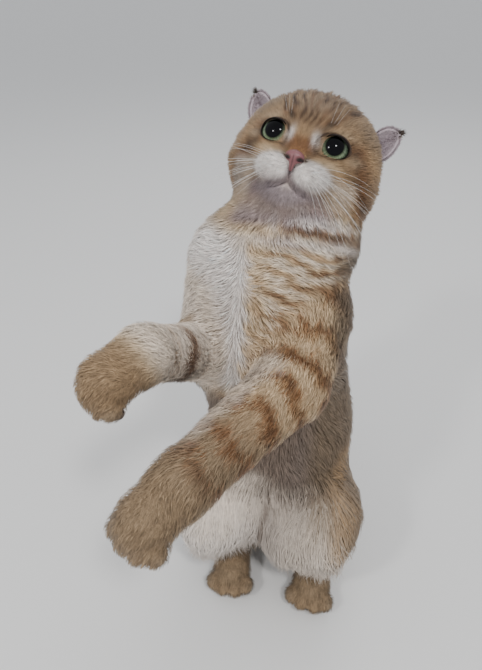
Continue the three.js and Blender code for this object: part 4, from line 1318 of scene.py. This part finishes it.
def makeLids(side, word, material):
    # A rim of dark bare skin on the edge of the lids, drawn into the inner corner
    thin = lidSize["thin"]
    bpy.ops.mesh.primitive_torus_add(
        major_segments=lidSize["segments"], minor_segments=12, major_radius=1, minor_radius=thin)
    rim = bpy.context.object
    rim.name = "lids" + word
    v = vectorsOf(rim.data, "co")
    angle = np.arctan2(v[:, 1], v[:, 0])
    outward = (np.hypot(v[:, 0], v[:, 1]) - 1) / thin
    proud = v[:, 2] / thin
    reach = 1 + eyeCorner["reach"] * bump(np.degrees(angle) % 360, eyeCorner["angle"], eyeCorner["width"])
    upper = smooth(-0.2, 0.9, np.sin(angle))
    edge = 1 + 0.055 * outward * lidSize["width"] * (0.75 + 0.7 * upper)
    x = np.cos(angle) * opening["halfWidth"] * reach * edge * side
    z = np.sin(angle) * opening["halfHeight"] * reach * edge + opening["raised"]
    radius = eyeSize["radius"] + lidSize["proud"] + lidSize["height"] * proud + lidSize["upper"] * upper
    held = np.minimum(np.hypot(x, z), radius * 0.985)
    y = -np.sqrt(radius ** 2 - held ** 2)
    setPoints(rim.data, fromHead(fromEye(np.stack([x, y, z], 1), side)))
    faceOutwards(rim)
    bpy.ops.object.shade_smooth()
    rim.data.materials.append(material)
    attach(rim, "root")


print("eyes")
wetEye = eyeMaterial()
lidSkin = bareMaterial("lidSkin")
for side, word in ((1, "Left"), (-1, "Right")):
    makeEye(side, word, wetEye)
    makeLids(side, word, lidSkin)

# Nose leather with its wings, keel and two nostrils
noseSize = {
    "pad": ((0, -50, -9.0), (4.9, 4.1, 3.8)), "wing": (3.6, -49.5, -9.8), "wingRadii": (2.7, 3.2, 2.6),
    "keel": ((0, -51, -12), 2.5, (0, -50, -18), 1.1), "voxel": 0.00045, "groove": 0.7,
    "nostril": (4.2, -11.0), "nostrilSize": (2.1, 1.05), "nostrilDepth": 2.6, "slant": 20,
    "slit": {"from": 2.4, "length": 2, "width": 0.5, "droop": 0.2, "depth": 0.8},
    # The hole colour is painted shade in the nostrils
    "skin": colour(128, 80, 82), "edge": colour(70, 46, 40), "hole": colour(34, 18, 18),
}


def wingCentre(side):
    x, y, z = noseSize["wing"]
    return (side * x, y, z)


def leatherField(p):
    h = toHead(p)
    wings = [ball(h, wingCentre(side), noseSize["wingRadii"]) for side in (1, -1)]
    return blend(2.5, ball(h, *noseSize["pad"]), *wings, taper(h, *noseSize["keel"]))


def nostrilShare(h):
    # 1 in the middle of a nostril, 0 outside it, with a slit that runs out to the side
    x = np.abs(h[:, 0]) - noseSize["nostril"][0]
    z = h[:, 2] - noseSize["nostril"][1]
    slant = math.radians(noseSize["slant"])
    u = math.cos(slant) * x + math.sin(slant) * z
    w = -math.sin(slant) * x + math.cos(slant) * z
    wide, high = noseSize["nostrilSize"]
    slit = noseSize["slit"]
    hole = np.exp(-((u / wide) ** 2 + (w / high) ** 2) ** 1.5)
    run = bump(np.maximum(u, 0), slit["from"], slit["length"]) * bump(w, -slit["droop"] * u, slit["width"])
    return np.clip(hole + slit["depth"] * run * (u > 0), 0, 1) * (h[:, 1] < -49)


def makeNose():
    centre, radii = noseSize["pad"]
    made = [addBall(fromHead(centre), radii, headTurn)]
    made += [addBall(fromHead(wingCentre(side)), noseSize["wingRadii"], headTurn) for side in (1, -1)]
    a, ra, b, rb = noseSize["keel"]
    made += addTaper(fromHead(a), ra, fromHead(b), rb)
    nose = joinRemeshed(made, "noseLeather", noseSize["voxel"])
    h = toHead(settle(leatherField, pointsOf(nose.data), 0, 1, 3))
    hole = nostrilShare(h)
    groove = bump(h[:, 0], 0, 0.5) * smooth(-8, -11, h[:, 2])
    h[:, 1] += noseSize["nostrilDepth"] * hole + noseSize["groove"] * groove
    setPoints(nose.data, fromHead(h))
    shadeSmooth(nose)
    inward = smooth(-47.5, -51, h[:, 1]) * (1 - 0.5 * smooth(-8, -5, h[:, 2]))
    tone = blendTo(noseSize["edge"], noseSize["skin"], inward)
    # Painted shade: the nostrils are painted dark, and the groove under the nose darker
    tone = blendTo(tone, noseSize["hole"], np.clip(1.5 * hole, 0, 1))
    paint(nose.data, tone * (1 - 0.5 * groove)[:, None])
    nose.data.materials.append(coatMaterial("noseLeather"))
    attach(nose, "root")
    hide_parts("nose")


print("nose")
makeNose()

# Ears: small thin cups held out to the sides, their upper edges curled forward and down
earSize = {
    "lower": ((43, 4, 12), (57, 3, 17), (56, 7, 34)), "upper": ((38, 4, 28), (46, 5, 39), (55, 7, 37)),
    "bowl": 7, "curl": 4.5, "ridge": 0.45, "thickness": 1.7, "cuts": 30, "buried": 0.16,
    # The deep colour is painted shade deep inside the cup
    "inside": colour(178, 163, 168), "deep": colour(146, 130, 136), "outside": colour(160, 141, 122),
}
earHair = {"count": 2400, "length": 2.6, "tuft": 110, "tuftLength": 5.5, "flatness": 0.5, "tint": 0.08}


def bezier(points, t):
    a, b, c = (np.array(q, float) for q in points)
    t = t[:, None]
    return (1 - t) ** 2 * a + 2 * (1 - t) * t * b + t ** 2 * c


def earSurface(u, v, side):
    # The cup by shares: u from its lower edge to its upper one, v from its root to its tip
    lower, upper = bezier(earSize["lower"], v), bezier(earSize["upper"], v)
    h = lower + (upper - lower) * u[:, None]
    across = 2 * u - 1
    inReach = np.clip(v, 0, 1)
    inside = smooth(0.1, 0.4, v) * smooth(1, 0.7, v) * smooth(0, 0.15, u) * smooth(1, 0.85, u)
    h[:, 1] += earSize["bowl"] * (1 - across ** 2) * np.sin(np.pi * (0.25 + 0.7 * inReach))
    h[:, 1] -= earSize["curl"] * np.maximum(0, across) ** 2 * np.sin(np.pi * inReach)
    h[:, 1] += earSize["ridge"] * np.sin(u * 21 + 2 * v) * inside
    h[:, 0] *= side
    return h


def makeEar(side, word, material):
    bpy.ops.mesh.primitive_grid_add(x_subdivisions=earSize["cuts"], y_subdivisions=earSize["cuts"], size=1)
    ear = bpy.context.object
    ear.name = "earCup" + word
    grid = vectorsOf(ear.data, "co") + 0.5
    v = grid[:, 1] * (1 + earSize["buried"]) - earSize["buried"]
    setPoints(ear.data, fromHead(earSurface(grid[:, 0], v, side)))
    onlySelect(ear)
    wall = ear.modifiers.new("wall", "SOLIDIFY")
    wall.thickness = earSize["thickness"] * 0.001
    wall.offset = 0
    bpy.ops.object.modifier_apply(modifier="wall")
    rounding = ear.modifiers.new("rounding", "SUBSURF")
    rounding.levels = 1
    rounding.render_levels = 1
    bpy.ops.object.modifier_apply(modifier="rounding")
    faceOutwards(ear)
    bpy.ops.object.shade_smooth()
    h = toHead(pointsOf(ear.data))
    front = smooth(0.3, -0.2, (vectorsOf(ear.data, "normal") @ headAxes)[:, 1])
    tip = smooth(50, 54, np.abs(h[:, 0])) * smooth(30, 35, h[:, 2])
    tone = blendTo(earSize["outside"], earSize["inside"], front)
    # Painted shade, darker deeper in the cup
    tone = blendTo(tone, earSize["deep"], 0.8 * smooth(6.5, 12, h[:, 1]) * front)
    paint(ear.data, blendTo(tone, coatColours["dark"], 0.7 * tip))
    ear.data.materials.append(material)
    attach(ear, "root")
    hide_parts("ear_" + word.lower())


def growEarHair(side, word):
    # Short hair over the back of the cup, a fringe on its edges and a dark tuft at its tip
    n = earHair["count"] + earHair["tuft"]
    u, v = rng.random(n), rng.random(n) * 1.1 - 0.12
    edge = np.arange(n) % 3 == 0
    u = np.where(edge, np.where(rng.random(n) < 0.5, 0.03 * rng.random(n), 1 - 0.03 * rng.random(n)), u)
    tuft = np.arange(n) >= earHair["count"]
    v = np.where(tuft, 0.93 + 0.07 * rng.random(n), v)
    u = np.where(tuft, 0.55 + 0.45 * rng.random(n), u)
    root = earSurface(u, v, side)
    along = unit(earSurface(u, v + 0.03, side) - root)
    aside = unit(earSurface(np.clip(u + 0.03, 0, 1.03), v, side) - root)
    normal = unit(np.cross(along, aside)) * -side
    normal = np.where((normal[:, 1] > 0)[:, None], normal, -normal)
    inner = (rng.random(n) < 0.4) & ~tuft & ~edge
    normal = normal * np.where(inner, -1.0, 1.0)[:, None]
    overEdge = aside * (np.sign(u - 0.5) * edge)[:, None]
    along = unit(along + 0.5 * overEdge + 0.25 * rng.normal(size=(n, 3)))
    length = np.where(tuft, earHair["tuftLength"], earHair["length"]) * (0.6 + 0.6 * rng.random(n))
    length = np.where(inner, 0.7 * length, length)[:, None]
    rise = normal * np.where(inner, 0.6, 0.9)[:, None]
    start = root + normal * (0.5 * earSize["thickness"] - 0.2)
    line = [start, start + along * 0.5 * length + rise, start + along * length + 0.9 * rise]
    wide = 0.2 + 0.08 * rng.random(n)
    halfWidths = np.stack([wide] * len(line), 1)
    stations = fromHead(np.stack(line, 1))
    points = hairPoints(stations, normal @ headAxes.T, halfWidths, earHair["flatness"])
    behind = blendTo(earSize["outside"], earSize["inside"], smooth(0.28, 0.46, np.abs(u - 0.5)))
    tone = np.where((inner | edge)[:, None], earSize["inside"] * 1.1, behind)
    tone = blendTo(tone, coatColours["dark"] * 0.8, smooth(0.86, 0.97, v) * smooth(0.2, 0.6, u) * ~inner)
    tone = tone * (1 + earHair["tint"] * rng.normal(size=n))[:, None]
    colours = np.repeat(np.clip(tone, hairValues["darkest"], hairValues["palest"]), points.shape[1], axis=0)
    bakePlace = np.stack([0.05 + 0.9 * u, 0.05 + 0.8 * np.clip(v, 0, 1)], 1)
    piece = hairPiece("earHair" + word, softFur, points, colours, bakePlace)
    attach(piece, "root")


print("ears")
earSkin = coatMaterial("earSkin")
for side, word in ((1, "Left"), (-1, "Right")):
    makeEar(side, word, earSkin)
    growEarHair(side, word)

# Whiskers on the muzzle pads and light hairs over the eyes: thin, stiff and tapering to nothing.
# Each row has its height, its number of whiskers and where it starts.
whiskers = {
    "rows": [(-13, 4, 14), (-16, 5, 13), (-19, 5, 12.5), (-22, 4, 12)], "spacing": 3.2, "length": 56,
    "radius": 0.1, "stations": 11, "brows": 3, "browLength": 19, "short": 30, "ahead": -60, "sunk": 1.6,
    "down": (0, 0.35, -1), "tone": colour(244, 240, 234),
}


def makeWhiskers():
    roots, ways, lengths, droops = [], [], [], []
    for side in (1, -1):
        for row, (z, count, x) in enumerate(whiskers["rows"]):
            for k in range(count):
                roots.append((side * (x + whiskers["spacing"] * k), whiskers["ahead"], z - 0.5 * k))
                ways.append((side * (1 + 0.12 * k), -0.55 + 0.2 * k, 0.12 - 0.36 * row + 0.07 * rng.normal()))
                lengths.append(whiskers["length"] * (0.72 + 0.1 * k + 0.08 * rng.normal()))
                droops.append(0.3 + 0.08 * rng.normal())
        for k in range(whiskers["brows"]):
            roots.append((side * (13.5 + 1.7 * k), whiskers["ahead"], 17 + 0.6 * k))
            ways.append((side * (0.1 + 0.16 * k), -0.35, 1))
            lengths.append(whiskers["browLength"] * (0.75 + 0.3 * rng.random()))
            droops.append(0.15)
    root, way = np.array(roots, float), unit(np.array(ways))
    # The roots move back from before the face until they are sunk in it
    for step in range(40):
        root[:, 1] += np.clip(faceField(root) + whiskers["sunk"], 0, 2)
    n = len(root)
    t = np.linspace(0, 1, whiskers["stations"])
    length, droop = np.array(lengths)[:, None, None], np.array(droops)[:, None, None]
    out = way[:, None, :] * t[:, None] * length
    sag = np.array(whiskers["down"], float) * droop * length * t[:, None] ** 2
    stations = fromHead(root[:, None, :] + out + sag)
    half = whiskers["radius"] * (1 - 0.75 * t) * np.where(length[:, :, 0] < whiskers["short"], 0.6, 1)
    points = hairPoints(stations, np.tile([0.1, -0.9, 0.4], (n, 1)), half, 1)
    colours = np.tile(whiskers["tone"], (n * points.shape[1], 1))
    bakePlace = np.stack([0.1 + 0.8 * np.arange(n) / n, np.full(n, 0.5)], 1)
    piece = hairPiece("whiskers", longFur, points, colours, bakePlace)
    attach(piece, "root")


print("whiskers")
makeWhiskers()

# Bare pads under the forepaws: one to each toe and a broad one behind them
padSize = {"toe": (3.3, 3.6, 2.2), "palm": (7.5, 6.0, 3.2), "proud": 0.5, "forward": 2, "voxel": 0.0007}


def makePads(name, material):
    paw = paws[name]
    middle, knuckles, toes, forward, back, across = pawParts(paw)
    turn = Matrix(np.stack([across, forward, back], 1).tolist()).to_euler()
    sole = toe["radius"] - padSize["toe"][2] + padSize["proud"]
    palmSole = paw["radii"][1] - padSize["palm"][2] + padSize["proud"]
    made = [addBall(t - back * sole + padSize["forward"] * forward, padSize["toe"], turn) for t in toes]
    made.append(addBall(middle - back * palmSole, padSize["palm"], turn))
    pads = joinRemeshed(made, "pads" + name.split("_")[1].capitalize(), padSize["voxel"])
    shadeSmooth(pads)
    pads.data.materials.append(material)
    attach(pads, "root")


print("pads")
padSkin = bareMaterial("padSkin")
for name in ("forepaw_left", "forepaw_right"):
    makePads(name, padSkin)

fleshNodes = [
    "head", "neck", "torso", "upper_arm_left", "upper_arm_right", "forearm_left", "forearm_right",
    "forepaw_left", "forepaw_right", "thigh_left", "thigh_right", "hindfoot_left", "hindfoot_right",
    "tail_base", "tail_middle", "tail_tip",
]
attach(skin, "root")
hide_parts(*fleshNodes)

# Studio: a pale floor, soft lights from both sides and the photograph's viewing angle
studio = {
    "cameraAt": (38.7, -316.8, 455), "pitch": 34.5, "yaw": 12, "lens": 27.4, "aimHeight": 0.25,
    "floorSize": 60, "floorColour": (0.78, 0.77, 0.75), "sky": 0.75, "skyColour": (0.92, 0.95, 1),
    "lights": {
        "key": {"at": (0.5, -0.85, 1.5), "size": 0.2, "power": 10},
        "fill": {"at": (-0.6, -0.95, 1.2), "size": 0.16, "power": 6},
        "top": {"at": (0.1, 1.1, 1.7), "size": 1.0, "power": 8},
    },
}


def makeStudio():
    bpy.ops.mesh.primitive_plane_add(size=studio["floorSize"], location=(0, 0, 0))
    floor = bpy.context.object
    floor.name = "floor"
    constants = {"Base Color": (*studio["floorColour"], 1), "Roughness": 0.6}
    floor.data.materials.append(makeMaterial("paleFloor", constants)[0])
    for name, values in studio["lights"].items():
        light = bpy.data.lights.new(name, "AREA")
        light.size = values["size"]
        light.energy = values["power"]
        lamp = bpy.data.objects.new(name, light)
        lamp.location = values["at"]
        aim = Vector((0, 0, studio["aimHeight"])) - lamp.location
        lamp.rotation_euler = aim.to_track_quat("-Z", "Y").to_euler()
        bpy.context.scene.collection.objects.link(lamp)
    world = bpy.data.worlds.new("softRoom")
    world.use_nodes = True
    background = world.node_tree.nodes["Background"]
    background.inputs["Color"].default_value = (*studio["skyColour"], 1)
    background.inputs["Strength"].default_value = studio["sky"]
    bpy.context.scene.world = world
    pitch, yaw = math.radians(studio["pitch"]), math.radians(studio["yaw"])
    forward = Vector((-math.sin(yaw) * math.cos(pitch), math.cos(yaw) * math.cos(pitch), -math.sin(pitch)))
    lens = bpy.data.cameras.new("camera")
    lens.lens = studio["lens"]
    lens.sensor_width = 36
    lens.clip_start = 0.01
    camera = bpy.data.objects.new("camera", lens)
    camera.location = inMetres(studio["cameraAt"])
    camera.rotation_euler = forward.to_track_quat("-Z", "Y").to_euler()
    bpy.context.scene.collection.objects.link(camera)
    bpy.context.scene.camera = camera


print("studio")
makeStudio()
